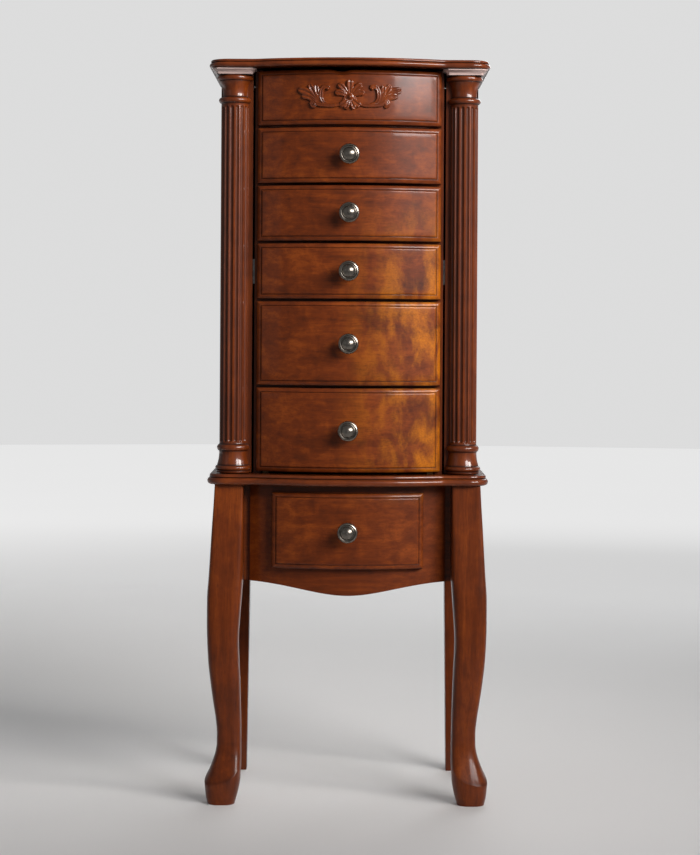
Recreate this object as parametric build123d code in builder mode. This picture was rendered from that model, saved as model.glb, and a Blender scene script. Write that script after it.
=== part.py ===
from build123d import *
from math import sqrt
import os

os.makedirs("parts", exist_ok=True)

# A free-standing jewelry armoire: a case of five bow-front drawers under a lidded tray, with a
# side door on each flank whose front edge carries a fluted column, on a waist board, an apron with
# one more drawer, two cabriole front legs and two tapered back legs. Millimetres, +Z up, origin on
# the floor under the middle of the whole object, front towards -Y.

# Heights, from the floor up
leg_height = 436.0
waist_thickness = 14.5
bottom_gap = 3.5
large_drawer_height = 114.5
small_drawer_height = 75.5
drawer_gap = 3.5
false_front_height = 74.5
top_gap = 3.0
lid_gap = 0.5
lid_thickness = 11.0

# Widths, from the middle out
drawer_width = 252.0
side_reveal = 3.5
case_side_thickness = 10.0
door_gap = 3.0
bay_width = 35.0
door_thickness = 12.0
board_overhang = 16.0
leg_inset = 11.0

# Depths, back from the front edges of the case sides
case_depth = 238.0
back_thickness = 10.0
door_rear_gap = 1.0
board_front = 35.5
board_bow = 24.0
board_corner = 28.0
lid_bead_height = 3.6
lid_bead_inset = 1.8
lid_bead_round = 1.3
waist_bead_height = 4.2
waist_bead_inset = 3.0
waist_bead_round = 1.6
nose_flat = 0.2

# Bowed fronts
bow_radius = 302.0
front_thickness = 12.0
front_seat = 0.5
front_round = 2.0
box_side_thickness = 8.0
box_clearance = 2.5
box_floor_thickness = 4.0
box_floor_lift = 3.0
box_rest_gap = 0.5
box_head_gap = 5.0
box_rear_gap = 13.0
shelf_thickness = 6.0

# Tray under the lid
tray_floor_lift = 1.5
lining_thickness = 1.2
divider_thickness = 5.0
divider_height = 34.0
divider_back = 96.0
divider_spread = 40.0
roll_radius = 8.0
roll_gap = 0.8
roll_end_gap = 1.0
soft_clearance = 0.3

# Fluted columns
ring_radius = 25.0
astragal_radius = 22.5
shaft_radius = 19.0
neck_radius = 17.3
cap_height = 8.0
cap_flare = 5.5
capital_height = 39.0
base_height = 40.0
cap_trim = 1.0
cap_side_trim = 1.8
flute_count = 16
flute_radius = 3.0
flute_margin = 4.0
door_end_gap = 1.0

# Turned outlines of the column: radius, and height above the foot of the base or of the capital.
# Each arc runs from its first point through its second to its third.
base_step_radius = ring_radius - 2.5
base_step_height = 3.0
base_ring_arc = ((base_step_radius, base_step_height), (ring_radius - 0.5, 6.5), (base_step_radius, 10.0))
scotia_arc = ((base_step_radius, 10.0), (shaft_radius + 1.0, 18.0), (shaft_radius + 0.5, 30.0))
upper_ring_arc = ((shaft_radius + 1.4, 31.0), (astragal_radius, 35.0), (shaft_radius, base_height))
astragal_arc = ((shaft_radius, 0.0), (astragal_radius, 4.5), (neck_radius, 9.0))
bell_arc = ((neck_radius, 9.0), (neck_radius + 0.8, 20.0), (ring_radius - 3.0, 31.5))
top_ring_arc = ((ring_radius - 3.0, 31.5), (ring_radius, 35.0), (ring_radius - 3.0, capital_height))

# Apron, its drawer and the legs
apron_radius = 295.0
apron_thickness = 12.0
apron_width = 268.0
apron_depth = 133.0
apron_drop = 17.0
apron_rail_back = 3.0
lower_front_width = 207.0
lower_front_height = 103.0
lower_front_thickness = 13.0
lower_front_drop = 10.0
lower_front_lap = 10.0
runner_thickness = 6.0
runner_width = 18.0
leg_width = 39.0
back_leg_depth = 30.0
back_leg_foot = 26.0
back_leg_inset = 4.0
block_width = 22.0
block_height = 60.0
screw_radius = 2.0
screw_head_radius = 4.0
screw_head_height = 2.5
screw_grip = 10.0

# Knobs
knob_radius = 13.8
knob_length = 26.0
knob_stem = 8.0
knob_stem_radius = 2.2

# Turned outline of the knob: radius, and height off the drawer's face
knob_rose = [(8.0, 0.0), (8.0, 1.6), (6.4, 3.0), (4.6, 5.0)]
knob_neck_arc = ((4.6, 5.0), (4.9, 10.0), (knob_radius - 2.6, 15.6))
knob_rim_arc = ((knob_radius - 2.6, 15.6), (knob_radius, 18.6), (knob_radius - 2.2, 21.4))
knob_groove_arc = ((knob_radius - 2.2, 21.4), (knob_radius - 4.0, 20.2), (knob_radius - 5.4, 21.8))

# Carved applique: across, up, turn, half length and half width of each leaf on the right side
applique_relief = 5.0
applique_drop = 2.0
rosette_radius = 9.0
crown_leaf = (0.0, 9.0, 0.0, 5.5, 9.0)
side_leaves = [
    (10.0, 7.0, -35.0, 4.5, 9.0),
    (17.0, -4.0, 20.0, 13.0, 6.0),
    (39.0, -2.0, -14.0, 17.0, 6.0),
    (58.0, 5.0, 32.0, 14.0, 5.5),
]

# Hinges, hooks, catches and mirror
hinge_length = 50.0
hinge_plate = 9.0
hinge_thickness = 1.2
hinge_offset = 3.0
knuckle_radius = 2.5
pin_radius = 1.2
pin_clearance = 0.05
knuckle_gap = 0.3
door_hinge_inset = 70.0
lid_hinge_spread = 75.0
hook_wire = 1.3
hook_reach = 13.0
hook_bend = 4.0
hook_tip = 5.0
hook_count = 4
hook_pitch = 40.0
hook_drop = 46.0
hook_rose_radius = 4.5
hook_rose_thickness = 1.5
magnet_depth = 14.0
magnet_width = 10.0
magnet_height = 34.0
mirror_width = 226.0
mirror_depth = 176.0
mirror_thickness = 3.0
mirror_setback = 30.0

# Places that follow from the sizes
drawer_half = drawer_width / 2
bow_depth = bow_radius - sqrt(bow_radius**2 - drawer_half**2)
lower_hollow_radius = apron_radius + front_seat
lower_face_radius = lower_hollow_radius + lower_front_thickness
front_reach = max(0, lower_face_radius - bow_radius) + bow_depth + front_thickness + front_seat + knob_length
back_reach = case_depth + hinge_offset + knuckle_radius
case_front = (front_reach - back_reach) / 2
case_back_y = case_front + case_depth
back_board_y = case_back_y - back_thickness
bow_axis = case_front - front_seat - front_thickness + bow_radius - bow_depth
bow_face = bow_axis - bow_radius

case_half = drawer_half + side_reveal
case_inner = case_half - case_side_thickness
stile_inner = case_half + door_gap
bay_outer = case_half + bay_width
door_outer = bay_outer + door_thickness
door_rear = back_board_y - door_rear_gap
board_half = door_outer + board_overhang
board_front_y = case_front - board_front

case_bottom = leg_height + waist_thickness
drawer_bottoms = []
drawer_heights = [large_drawer_height] * 2 + [small_drawer_height] * 3
level = case_bottom + bottom_gap
for drawer_height in drawer_heights:
    drawer_bottoms.append(level)
    level += drawer_height + drawer_gap
false_front_bottom = level
case_top = false_front_bottom + false_front_height + top_gap
lid_bottom = case_top + lid_gap
door_bottom = case_bottom + door_end_gap
door_top = case_top - soft_clearance
tray_floor = false_front_bottom - drawer_gap + tray_floor_lift
tray_top = tray_floor + shelf_thickness
shelf_levels = [b - drawer_gap / 2 - shelf_thickness / 2 for b in drawer_bottoms[1:]]

box_outer = case_inner - box_clearance
box_inner = box_outer - box_side_thickness
leg_outer = board_half - leg_inset
leg_inner = leg_outer - leg_width
leg_front = board_front_y + leg_inset
leg_rear = leg_front + leg_width
back_leg_front = case_back_y - back_leg_depth
column_x = stile_inner + ring_radius
apron_half = apron_width / 2
apron_bottom = leg_height - apron_depth
lower_front_lift = leg_height - lower_front_drop - lower_front_height


def write(piece, name):
    """Label a finished piece and write its STEP file."""
    piece.label = name
    export_step(piece, f"parts/{name}.step")


def slab(x0, x1, y0, y1, z0, z1):
    """A board with its faces along the axes, from corner to corner."""
    with BuildPart(mode=Mode.PRIVATE) as board:
        with BuildSketch(Plane.XY.offset(z0)):
            with Locations(((x0 + x1) / 2, (y0 + y1) / 2)):
                Rectangle(x1 - x0, y1 - y0)
        extrude(amount=z1 - z0)
    return board.part


def bow_y(radius, x):
    """The front of the circle of this radius round the bow axis, x from the middle."""
    return bow_axis - sqrt(radius**2 - x**2)


def mirrored(piece):
    """The same piece on the other side of the middle plane."""
    with BuildPart(mode=Mode.PRIVATE) as other:
        mirror(piece, about=Plane.YZ)
    return other.part


def write_pair(piece, name):
    """Write the right-hand piece and its mirror image."""
    write(piece, f"{name}_right")
    write(mirrored(piece), f"{name}_left")


# --- Shaped boards: lid and waist ------------------------------------------------------------

def board_plan(inset):
    """Plan of the lid and waist: straight over the columns, bowed between, round front corners."""
    half = board_half - inset
    front = board_front_y + inset
    bow_half = drawer_half + door_gap
    with BuildSketch(mode=Mode.PRIVATE) as plan:
        with BuildLine():
            Line((-half, case_back_y), (-half, front))
            Line((-half, front), (-bow_half, front))
            ThreePointArc((-bow_half, front), (0, front - board_bow), (bow_half, front))
            Line((bow_half, front), (half, front))
            Line((half, front), (half, case_back_y))
            Line((half, case_back_y), (-half, case_back_y))
        make_face()
        ends = [v for v in plan.vertices() if abs(v.X) > bow_half + board_corner and v.Y < case_front]
        joins = [v for v in plan.vertices() if abs(v.X) < bow_half + board_corner]
        fillet(ends, board_corner - inset)
        fillet(joins, board_corner)
    return plan.sketch


def moulded_board(bottom, thickness, bead_height, bead_inset, bead_round):
    """A board whose edge is a full round nose with a small bead set back above it."""
    nose = thickness - bead_height
    nose_round = (nose - nose_flat) / 2
    with BuildPart(mode=Mode.PRIVATE) as board:
        with BuildSketch(Plane.XY.offset(bottom)):
            add(board_plan(0))
        extrude(amount=nose)
        back_edges = board.edges().group_by(Axis.Y)[-1]
        rims = board.edges().filter_by(Plane.XY) - back_edges
        fillet(rims, nose_round)
        with BuildSketch(Plane.XY.offset(bottom + nose)):
            add(board_plan(bead_inset))
        extrude(amount=bead_height)
        top_edges = board.edges().group_by(Axis.Z)[-1]
        fillet(top_edges - top_edges.group_by(Axis.Y)[-1], bead_round)
    return board.part


# --- Hinges ------------------------------------------------------------------------------------

knuckle_length = (hinge_length - 2 * knuckle_gap) / 3
fixed_spans = [(0, knuckle_length), (hinge_length - knuckle_length, hinge_length)]
moving_spans = [(knuckle_length + knuckle_gap, hinge_length - knuckle_length - knuckle_gap)]


def hinge_plate_solid(frame, gap, side):
    """The flat plate of a hinge leaf: local X points away from it, local Y is its normal."""
    with BuildPart(mode=Mode.PRIVATE) as plate:
        with BuildSketch(frame):
            with Locations((-hinge_offset - hinge_plate / 2, side * (gap + hinge_thickness) / 2)):
                Rectangle(hinge_plate, hinge_thickness)
        extrude(amount=hinge_length)
    return plate.part


def hinge_leaf(frame, gap, side, spans, bore):
    """A hinge leaf with a knuckle on each of its spans along the pin."""
    with BuildPart(mode=Mode.PRIVATE) as leaf:
        add(hinge_plate_solid(frame, gap, side))
        for start, end in spans:
            with BuildSketch(frame.offset(start)):
                with Locations((-hinge_offset / 2, side * (gap + hinge_thickness) / 2)):
                    Rectangle(hinge_offset, hinge_thickness)
                Circle(knuckle_radius)
            extrude(amount=end - start)
        with BuildSketch(frame):
            Circle(bore)
        extrude(amount=hinge_length, mode=Mode.SUBTRACT)
    return leaf.part


def hinge_pin(frame):
    """The pin through one hinge."""
    with BuildPart(mode=Mode.PRIVATE) as pin:
        with BuildSketch(frame):
            Circle(pin_radius)
        extrude(amount=hinge_length)
    return pin.part


door_hinge_levels = [door_bottom + door_hinge_inset, door_top - door_hinge_inset - hinge_length]
door_hinge_x = door_outer + hinge_offset
door_hinge_y = back_board_y - door_rear_gap / 2
door_hinge_frames = [
    Plane(origin=(door_hinge_x, door_hinge_y, z), x_dir=(1, 0, 0), z_dir=(0, 0, 1))
    for z in door_hinge_levels
]
lid_hinge_y = case_back_y + hinge_offset
lid_hinge_z = case_top + lid_gap / 2
lid_hinge_frames = [
    Plane(origin=(x - hinge_length / 2, lid_hinge_y, lid_hinge_z), x_dir=(0, 1, 0), z_dir=(1, 0, 0))
    for x in (-lid_hinge_spread, lid_hinge_spread)
]

with BuildPart() as door_case_leaves_right:
    for place in door_hinge_frames:
        add(hinge_leaf(place, door_rear_gap, 1, fixed_spans, pin_radius))

with BuildPart() as door_hinge_case_leaves:
    add(door_case_leaves_right.part)
    add(mirrored(door_case_leaves_right.part))
write(door_hinge_case_leaves.part, "door_hinge_case_leaves")

with BuildPart() as door_hinge_leaves:
    for place in door_hinge_frames:
        add(hinge_leaf(place, door_rear_gap, -1, moving_spans, pin_radius + pin_clearance))
write_pair(door_hinge_leaves.part, "door_hinge_leaves")

with BuildPart() as lid_hinge_case_leaves:
    for place in lid_hinge_frames:
        add(hinge_leaf(place, lid_gap, -1, fixed_spans, pin_radius))
write(lid_hinge_case_leaves.part, "lid_hinge_case_leaves")

with BuildPart() as lid_hinge_leaves:
    for place in lid_hinge_frames:
        add(hinge_leaf(place, lid_gap, 1, moving_spans, pin_radius + pin_clearance))
write(lid_hinge_leaves.part, "lid_hinge_leaves")

with BuildPart() as hinge_pins:
    for place in door_hinge_frames:
        add(hinge_pin(place))
        add(mirrored(hinge_pin(place)))
    for place in lid_hinge_frames:
        add(hinge_pin(place))
write(hinge_pins.part, "hinge_pins")

# --- Lid and mirror ----------------------------------------------------------------------------

mirror_front = case_front + mirror_setback

with BuildPart() as mirror_glass:
    add(slab(-mirror_width / 2, mirror_width / 2, mirror_front, mirror_front + mirror_depth,
             lid_bottom, lid_bottom + mirror_thickness))
write(mirror_glass.part, "mirror")

with BuildPart() as lid:
    add(moulded_board(lid_bottom, lid_thickness, lid_bead_height, lid_bead_inset, lid_bead_round))
    add(mirror_glass.part, mode=Mode.SUBTRACT)
    for place in lid_hinge_frames:
        add(hinge_plate_solid(place, lid_gap, 1), mode=Mode.SUBTRACT)
write(lid.part, "lid_panel")

# --- Waist board and case ----------------------------------------------------------------------

block_places = [
    (sign * (bay_outer - block_width / 2), y)
    for sign in (-1, 1)
    for y in (leg_rear + block_width / 2, back_leg_front - block_width / 2)
]

with BuildPart() as waist:
    add(moulded_board(leg_height, waist_thickness, waist_bead_height, waist_bead_inset, waist_bead_round))
    with BuildSketch(Plane.XY.offset(leg_height)):
        with Locations(block_places):
            Circle(screw_radius)
    extrude(amount=screw_grip, mode=Mode.SUBTRACT)
write(waist.part, "waist_board")

with BuildPart() as case_side:
    add(slab(case_inner, case_half, case_front, back_board_y, case_bottom, case_top))
write_pair(case_side.part, "case_side")

with BuildPart() as case_back:
    add(slab(-door_outer, door_outer, back_board_y, case_back_y, case_bottom, case_top))
    for place in door_hinge_frames:
        add(hinge_plate_solid(place, door_rear_gap, 1), mode=Mode.SUBTRACT)
        add(mirrored(hinge_plate_solid(place, door_rear_gap, 1)), mode=Mode.SUBTRACT)
    for place in lid_hinge_frames:
        add(hinge_plate_solid(place, lid_gap, -1), mode=Mode.SUBTRACT)
write(case_back.part, "case_back")

with BuildPart() as dust_boards:
    for shelf_level in shelf_levels:
        add(slab(-case_inner, case_inner, case_front + front_seat, back_board_y,
                 shelf_level, shelf_level + shelf_thickness))
write(dust_boards.part, "dust_boards")


def hollow_floor(half, front_radius, rear, bottom, thickness):
    """A floor between two sides, its front edge following the hollow of a bowed front."""
    with BuildPart(mode=Mode.PRIVATE) as floor:
        with BuildSketch(Plane.XY.offset(bottom)):
            with Locations((0, bow_axis)):
                Circle(front_radius)
            with Locations((0, (bow_face + rear) / 2)):
                Rectangle(2 * half, rear - bow_face, mode=Mode.INTERSECT)
        extrude(amount=thickness)
    return floor.part


hollow_radius = bow_radius - front_thickness

with BuildPart() as tray:
    add(hollow_floor(box_inner, hollow_radius, back_board_y, tray_floor, shelf_thickness))
    add(slab(-case_inner, case_inner, case_front, back_board_y, tray_floor, tray_top))
write(tray.part, "tray_floor")

with BuildPart() as tray_lining:
    add(hollow_floor(box_inner - soft_clearance, hollow_radius - soft_clearance,
                     back_board_y - soft_clearance, tray_top, lining_thickness))
write(tray_lining.part, "tray_lining")

divider_bottom = tray_top + lining_thickness
divider_y = case_front + divider_back
with BuildPart() as tray_dividers:
    add(slab(-case_inner, case_inner, divider_y, divider_y + divider_thickness,
             divider_bottom, divider_bottom + divider_height))
    for x in (-divider_spread, divider_spread):
        add(slab(x - divider_thickness / 2, x + divider_thickness / 2, case_front,
                 divider_y, divider_bottom, divider_bottom + divider_height))
write(tray_dividers.part, "tray_dividers")

roll_pitch = 2 * roll_radius + roll_gap
roll_room = back_board_y - soft_clearance - (divider_y + divider_thickness + soft_clearance)
roll_count = int(roll_room // roll_pitch)
roll_start = back_board_y - soft_clearance - roll_radius
roll_plane = Plane.YZ.offset(-case_inner + roll_end_gap)
with BuildPart() as ring_rolls:
    for i in range(roll_count):
        with BuildSketch(roll_plane):
            with Locations((roll_start - i * roll_pitch, divider_bottom + soft_clearance + roll_radius)):
                Circle(roll_radius)
        extrude(amount=2 * (case_inner - roll_end_gap))
write(ring_rolls.part, "ring_rolls")

# --- Bowed drawer fronts -------------------------------------------------------------------------


def bowed_front(bottom, height, back):
    """A front bowed on its face and hollowed behind, with flat lands at its ends."""
    face_end = bow_y(bow_radius, drawer_half)
    hollow_end = bow_y(hollow_radius, box_inner)
    with BuildPart(mode=Mode.PRIVATE) as front:
        with BuildSketch(Plane.XY.offset(bottom)):
            with BuildLine():
                Line((-drawer_half, back), (-drawer_half, face_end))
                ThreePointArc((-drawer_half, face_end), (0, bow_face), (drawer_half, face_end))
                Line((drawer_half, face_end), (drawer_half, back))
                Line((drawer_half, back), (box_inner, back))
                Line((box_inner, back), (box_inner, hollow_end))
                ThreePointArc((box_inner, hollow_end), (0, bow_axis - hollow_radius),
                              (-box_inner, hollow_end))
                Line((-box_inner, hollow_end), (-box_inner, back))
                Line((-box_inner, back), (-drawer_half, back))
            make_face()
        extrude(amount=height)
        face_edges = front.faces().sort_by(Axis.Y).filter_by(GeomType.CYLINDER)[0].edges()
        fillet(face_edges, front_round)
    return front.part


def knob(face_y, z):
    """A turned knob: rose, neck, dished head with a rim and a dome in its middle."""
    with BuildPart(mode=Mode.PRIVATE) as turned:
        with BuildSketch(Plane.XY):
            with BuildLine():
                Polyline((0, -knob_stem), (knob_stem_radius, -knob_stem), (knob_stem_radius, 0),
                         *knob_rose)
                ThreePointArc(*knob_neck_arc)
                ThreePointArc(*knob_rim_arc)
                ThreePointArc(*knob_groove_arc)
                TangentArc((0, knob_length), knob_groove_arc[-1], tangent=(1, 0))
                Line((0, knob_length), (0, -knob_stem))
            make_face()
        revolve(axis=Axis.Y)
    return Plane(origin=(0, face_y, z), x_dir=(1, 0, 0), z_dir=(0, 0, -1)) * turned.part


def stem_hole(face_y, z):
    """The blind hole that holds a knob's stem."""
    with BuildPart(mode=Mode.PRIVATE) as hole:
        with BuildSketch(Plane(origin=(0, face_y, z), x_dir=(1, 0, 0), z_dir=(0, 1, 0))):
            Circle(knob_stem_radius)
        extrude(amount=knob_stem)
    return hole.part


def drawer_box(outer, front, rear, bottom, height, hollow):
    """Sides, back and floor of a drawer; the front ends stop at the front's own back."""
    inner = outer - box_side_thickness
    with BuildPart(mode=Mode.PRIVATE) as box:
        for sign in (-1, 1):
            x0, x1 = sorted((sign * inner, sign * outer))
            add(slab(x0, x1, front, rear, bottom, bottom + height))
        add(slab(-inner, inner, rear - box_side_thickness, rear, bottom, bottom + height))
        add(hollow_floor(inner, hollow, rear, bottom + box_floor_lift, box_floor_thickness))
    return box.part


land_y = case_front - front_seat
box_rear = back_board_y - box_rear_gap
floors = [case_bottom] + [shelf_level + shelf_thickness for shelf_level in shelf_levels]
ceilings = shelf_levels + [tray_floor]
drawer_rows = list(zip(drawer_bottoms, drawer_heights, floors, ceilings))
for number, (bottom, height, floor, ceiling) in enumerate(reversed(drawer_rows), start=1):
    middle = bottom + height / 2
    with BuildPart() as drawer_front:
        add(bowed_front(bottom, height, land_y))
        add(stem_hole(bow_face, middle), mode=Mode.SUBTRACT)
    write(drawer_front.part, f"drawer_{number}_front")
    box_height = ceiling - floor - box_rest_gap - box_head_gap
    write(drawer_box(box_outer, land_y, box_rear, floor + box_rest_gap, box_height, hollow_radius),
          f"drawer_{number}_box")
    write(knob(bow_face, middle), f"drawer_{number}_knob")

with BuildPart() as false_front:
    add(bowed_front(false_front_bottom, false_front_height, case_front))
write(false_front.part, "false_front")

# --- Carved applique on the false front ----------------------------------------------------------

applique_level = false_front_bottom + false_front_height / 2
left_leaves = [(-across, up, -turn, *halves) for across, up, turn, *halves in side_leaves]

with BuildPart() as applique:
    with BuildSketch(Plane.XZ.offset(-bow_face - drawer_gap)):
        with Locations((0, applique_level - applique_drop)):
            Circle(rosette_radius)
        for across, up, turn, half_length, half_width in [crown_leaf, *side_leaves, *left_leaves]:
            with Locations(Location((across, applique_level + up), turn)):
                Ellipse(half_length, half_width)
    extrude(amount=bow_depth, both=True)
    with BuildSketch(Plane.XY.offset(applique_level - false_front_height / 2)):
        with Locations((0, bow_axis)):
            Circle(bow_radius + applique_relief)
            Circle(bow_radius, mode=Mode.SUBTRACT)
        with Locations((0, bow_face)):
            Rectangle(drawer_width, 2 * bow_depth, mode=Mode.INTERSECT)
    extrude(amount=false_front_height, mode=Mode.INTERSECT)
write(applique.part, "applique")

# --- Doors ------------------------------------------------------------------------------------------

with BuildPart() as door_panel:
    add(slab(bay_outer, door_outer, case_front, door_rear, door_bottom, door_top))
    for place in door_hinge_frames:
        add(hinge_plate_solid(place, door_rear_gap, -1), mode=Mode.SUBTRACT)
write_pair(door_panel.part, "door_panel")

with BuildPart() as door_stile:
    add(slab(stile_inner, bay_outer, case_front, case_front + door_thickness, door_bottom, door_top))
write_pair(door_stile.part, "door_stile")

door_corner = slab(0, door_outer, case_front, door_rear, door_bottom, door_top)
column_top = door_top - cap_height
column_plane = Plane(origin=(column_x, case_front, 0), x_dir=(1, 0, 0), z_dir=(0, -1, 0))

column_base = door_bottom
column_bell = column_top - capital_height


def raised(arc, foot):
    """A turned arc set on its foot's height."""
    return [(radius, foot + height) for radius, height in arc]


with BuildPart() as column:
    with BuildSketch(column_plane):
        with BuildLine():
            Polyline((0, column_top), (0, column_base), (base_step_radius, column_base),
                     (base_step_radius, column_base + base_step_height))
            ThreePointArc(*raised(base_ring_arc, column_base))
            ThreePointArc(*raised(scotia_arc, column_base))
            Line(raised(scotia_arc, column_base)[-1], raised(upper_ring_arc, column_base)[0])
            ThreePointArc(*raised(upper_ring_arc, column_base))
            Line((shaft_radius, column_base + base_height), (shaft_radius, column_bell))
            ThreePointArc(*raised(astragal_arc, column_bell))
            ThreePointArc(*raised(bell_arc, column_bell))
            ThreePointArc(*raised(top_ring_arc, column_bell))
            Line(raised(top_ring_arc, column_bell)[-1], (0, column_top))
        make_face()
    revolve(axis=Axis(origin=(column_x, case_front, 0), direction=(0, 0, 1)))
    flute_bottom = column_base + base_height + flute_margin
    flute_top = column_bell - flute_margin
    with BuildSketch(Plane(origin=(column_x, case_front, flute_bottom))):
        with PolarLocations(shaft_radius + flute_radius / 3, flute_count, start_angle=180 / flute_count):
            Circle(flute_radius)
    extrude(amount=flute_top - flute_bottom, mode=Mode.SUBTRACT)
    add(door_corner, mode=Mode.SUBTRACT)
write_pair(column.part, "column")

cap_side = 2 * ring_radius - cap_trim
with BuildPart() as column_cap:
    with BuildSketch(Plane(origin=(column_x, case_front, column_top))):
        Rectangle(cap_side, cap_side)
    with BuildSketch(Plane(origin=(column_x, case_front, door_top))):
        with Locations((cap_side_trim / 2, 0)):
            Rectangle(cap_side + 2 * cap_flare - cap_side_trim, cap_side + 2 * cap_flare)
    loft(ruled=True)
    add(door_corner, mode=Mode.SUBTRACT)
write_pair(column_cap.part, "column_cap")

with BuildPart() as hooks:
    hook_z = door_top - hook_drop
    first = (case_front + door_rear) / 2 - hook_pitch * (hook_count - 1) / 2
    for i in range(hook_count):
        y = first + i * hook_pitch
        with BuildSketch(Plane(origin=(bay_outer, y, hook_z), x_dir=(0, 1, 0), z_dir=(-1, 0, 0))):
            Circle(hook_rose_radius)
        extrude(amount=hook_rose_thickness)
        with BuildLine(Plane(origin=(bay_outer, y, hook_z), x_dir=(-1, 0, 0), z_dir=(0, 1, 0))) as wire:
            Line((0, 0), (hook_reach, 0))
            JernArc((hook_reach, 0), (1, 0), hook_bend, 90)
            Line((hook_reach + hook_bend, hook_bend), (hook_reach + hook_bend, hook_bend + hook_tip))
        with BuildSketch(Plane(origin=wire.line @ 0, z_dir=wire.line % 0)):
            Circle(hook_wire)
        sweep(path=wire.line)
write_pair(hooks.part, "necklace_hooks")

with BuildPart() as magnets:
    z = (door_bottom + door_top) / 2
    y = case_front + door_thickness + soft_clearance
    for x0, x1 in ((case_half, case_half + magnet_width), (-case_half - magnet_width, -case_half)):
        add(slab(x0, x1, y, y + magnet_depth, z - magnet_height / 2, z + magnet_height / 2))
write(magnets.part, "door_magnets")

# --- Apron and its drawer --------------------------------------------------------------------------

lower_opening_half = lower_front_width / 2 - lower_front_lap
lower_opening_bottom = lower_front_lift + lower_front_lap
lower_opening_top = lower_front_lift + lower_front_height - lower_front_lap
apron_back = leg_rear
apron_rail = apron_back - apron_rail_back - front_thickness / 2
apron_end = bow_y(apron_radius, apron_half)
apron_hollow = apron_radius - apron_thickness
apron_hollow_half = apron_half - 2 * apron_thickness

with BuildPart() as apron:
    with BuildSketch(Plane.XY.offset(apron_bottom - apron_drop)):
        with BuildLine():
            Polyline((-apron_half, apron_end), (-apron_half, apron_rail), (-leg_inner, apron_rail),
                     (-leg_inner, apron_back), (-apron_hollow_half, apron_back),
                     (-apron_hollow_half, bow_y(apron_hollow, apron_hollow_half)))
            ThreePointArc((-apron_hollow_half, bow_y(apron_hollow, apron_hollow_half)),
                          (0, bow_axis - apron_hollow),
                          (apron_hollow_half, bow_y(apron_hollow, apron_hollow_half)))
            Polyline((apron_hollow_half, bow_y(apron_hollow, apron_hollow_half)),
                     (apron_hollow_half, apron_back), (leg_inner, apron_back),
                     (leg_inner, apron_rail), (apron_half, apron_rail), (apron_half, apron_end))
            ThreePointArc((apron_half, apron_end), (0, bow_axis - apron_radius),
                          (-apron_half, apron_end))
        make_face()
    extrude(amount=apron_depth + apron_drop)
    with BuildSketch(Plane.XZ):
        with BuildLine():
            low = apron_bottom - apron_drop
            Spline((-leg_inner, apron_bottom), (0, low), (leg_inner, apron_bottom),
                   tangents=((1, 0), (1, 0)))
            Polyline((leg_inner, apron_bottom), (leg_inner, leg_height), (-leg_inner, leg_height),
                     (-leg_inner, apron_bottom))
        make_face()
    extrude(amount=case_depth, both=True, mode=Mode.INTERSECT)
    with BuildSketch(Plane.XZ):
        with Locations((0, (lower_opening_bottom + lower_opening_top) / 2)):
            Rectangle(2 * lower_opening_half, lower_opening_top - lower_opening_bottom)
    extrude(amount=case_depth, both=True, mode=Mode.SUBTRACT)
write(apron.part, "apron_front")

with BuildPart() as apron_sides:
    for x0, x1 in ((bay_outer, door_outer), (-door_outer, -bay_outer)):
        add(slab(x0, x1, leg_rear, back_leg_front, apron_bottom, leg_height))
write(apron_sides.part, "apron_sides")

apron_back_front = case_back_y - back_leg_depth / 2 - apron_thickness / 2
with BuildPart() as apron_back_board:
    add(slab(-leg_inner, leg_inner, apron_back_front, apron_back_front + apron_thickness,
             apron_bottom, leg_height))
write(apron_back_board.part, "apron_back")

lower_middle = lower_front_lift + lower_front_height / 2
lower_face_y = bow_axis - lower_face_radius

with BuildPart() as lower_front:
    with BuildSketch(Plane.XY.offset(lower_front_lift)):
        with Locations((0, bow_axis)):
            Circle(lower_face_radius)
            Circle(lower_hollow_radius, mode=Mode.SUBTRACT)
        with Locations((0, bow_axis - lower_face_radius)):
            Rectangle(lower_front_width, lower_face_radius, mode=Mode.INTERSECT)
    extrude(amount=lower_front_height)
    outer_face = lower_front.faces().filter_by(GeomType.CYLINDER).sort_by(Axis.Y)[0]
    fillet(outer_face.edges(), front_round)
    add(stem_hole(lower_face_y, lower_middle), mode=Mode.SUBTRACT)
write(lower_front.part, "lower_drawer_front")

lower_box_outer = lower_opening_half - box_clearance / 2
lower_box_bottom = lower_opening_bottom + box_rest_gap
lower_box_height = lower_opening_top - lower_opening_bottom - box_rest_gap - box_head_gap
lower_box_rear = apron_back_front - box_rear_gap

with BuildPart() as lower_box:
    add(drawer_box(lower_box_outer, lower_face_y, lower_box_rear, lower_box_bottom,
                   lower_box_height, lower_hollow_radius))
    with BuildSketch(Plane.XY.offset(lower_box_bottom)):
        with Locations((0, bow_axis)):
            Circle(lower_hollow_radius)
    extrude(amount=lower_box_height, mode=Mode.INTERSECT)
write(lower_box.part, "lower_drawer_box")
write(knob(lower_face_y, lower_middle), "lower_drawer_knob")

with BuildPart() as runners:
    guide = lower_box_outer + box_clearance / 2
    for sign in (-1, 1):
        x0, x1 = sorted((sign * (guide - runner_width + runner_thickness), sign * (guide + runner_thickness)))
        add(slab(x0, x1, apron_back, apron_back_front,
                 lower_opening_bottom - runner_thickness, lower_opening_bottom))
        x0, x1 = sorted((sign * guide, sign * (guide + runner_thickness)))
        add(slab(x0, x1, apron_back, apron_back_front,
                 lower_opening_bottom - runner_thickness, lower_opening_bottom + 3 * runner_thickness))
write(runners.part, "lower_drawer_runners")

# --- Legs -----------------------------------------------------------------------------------------------

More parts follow.
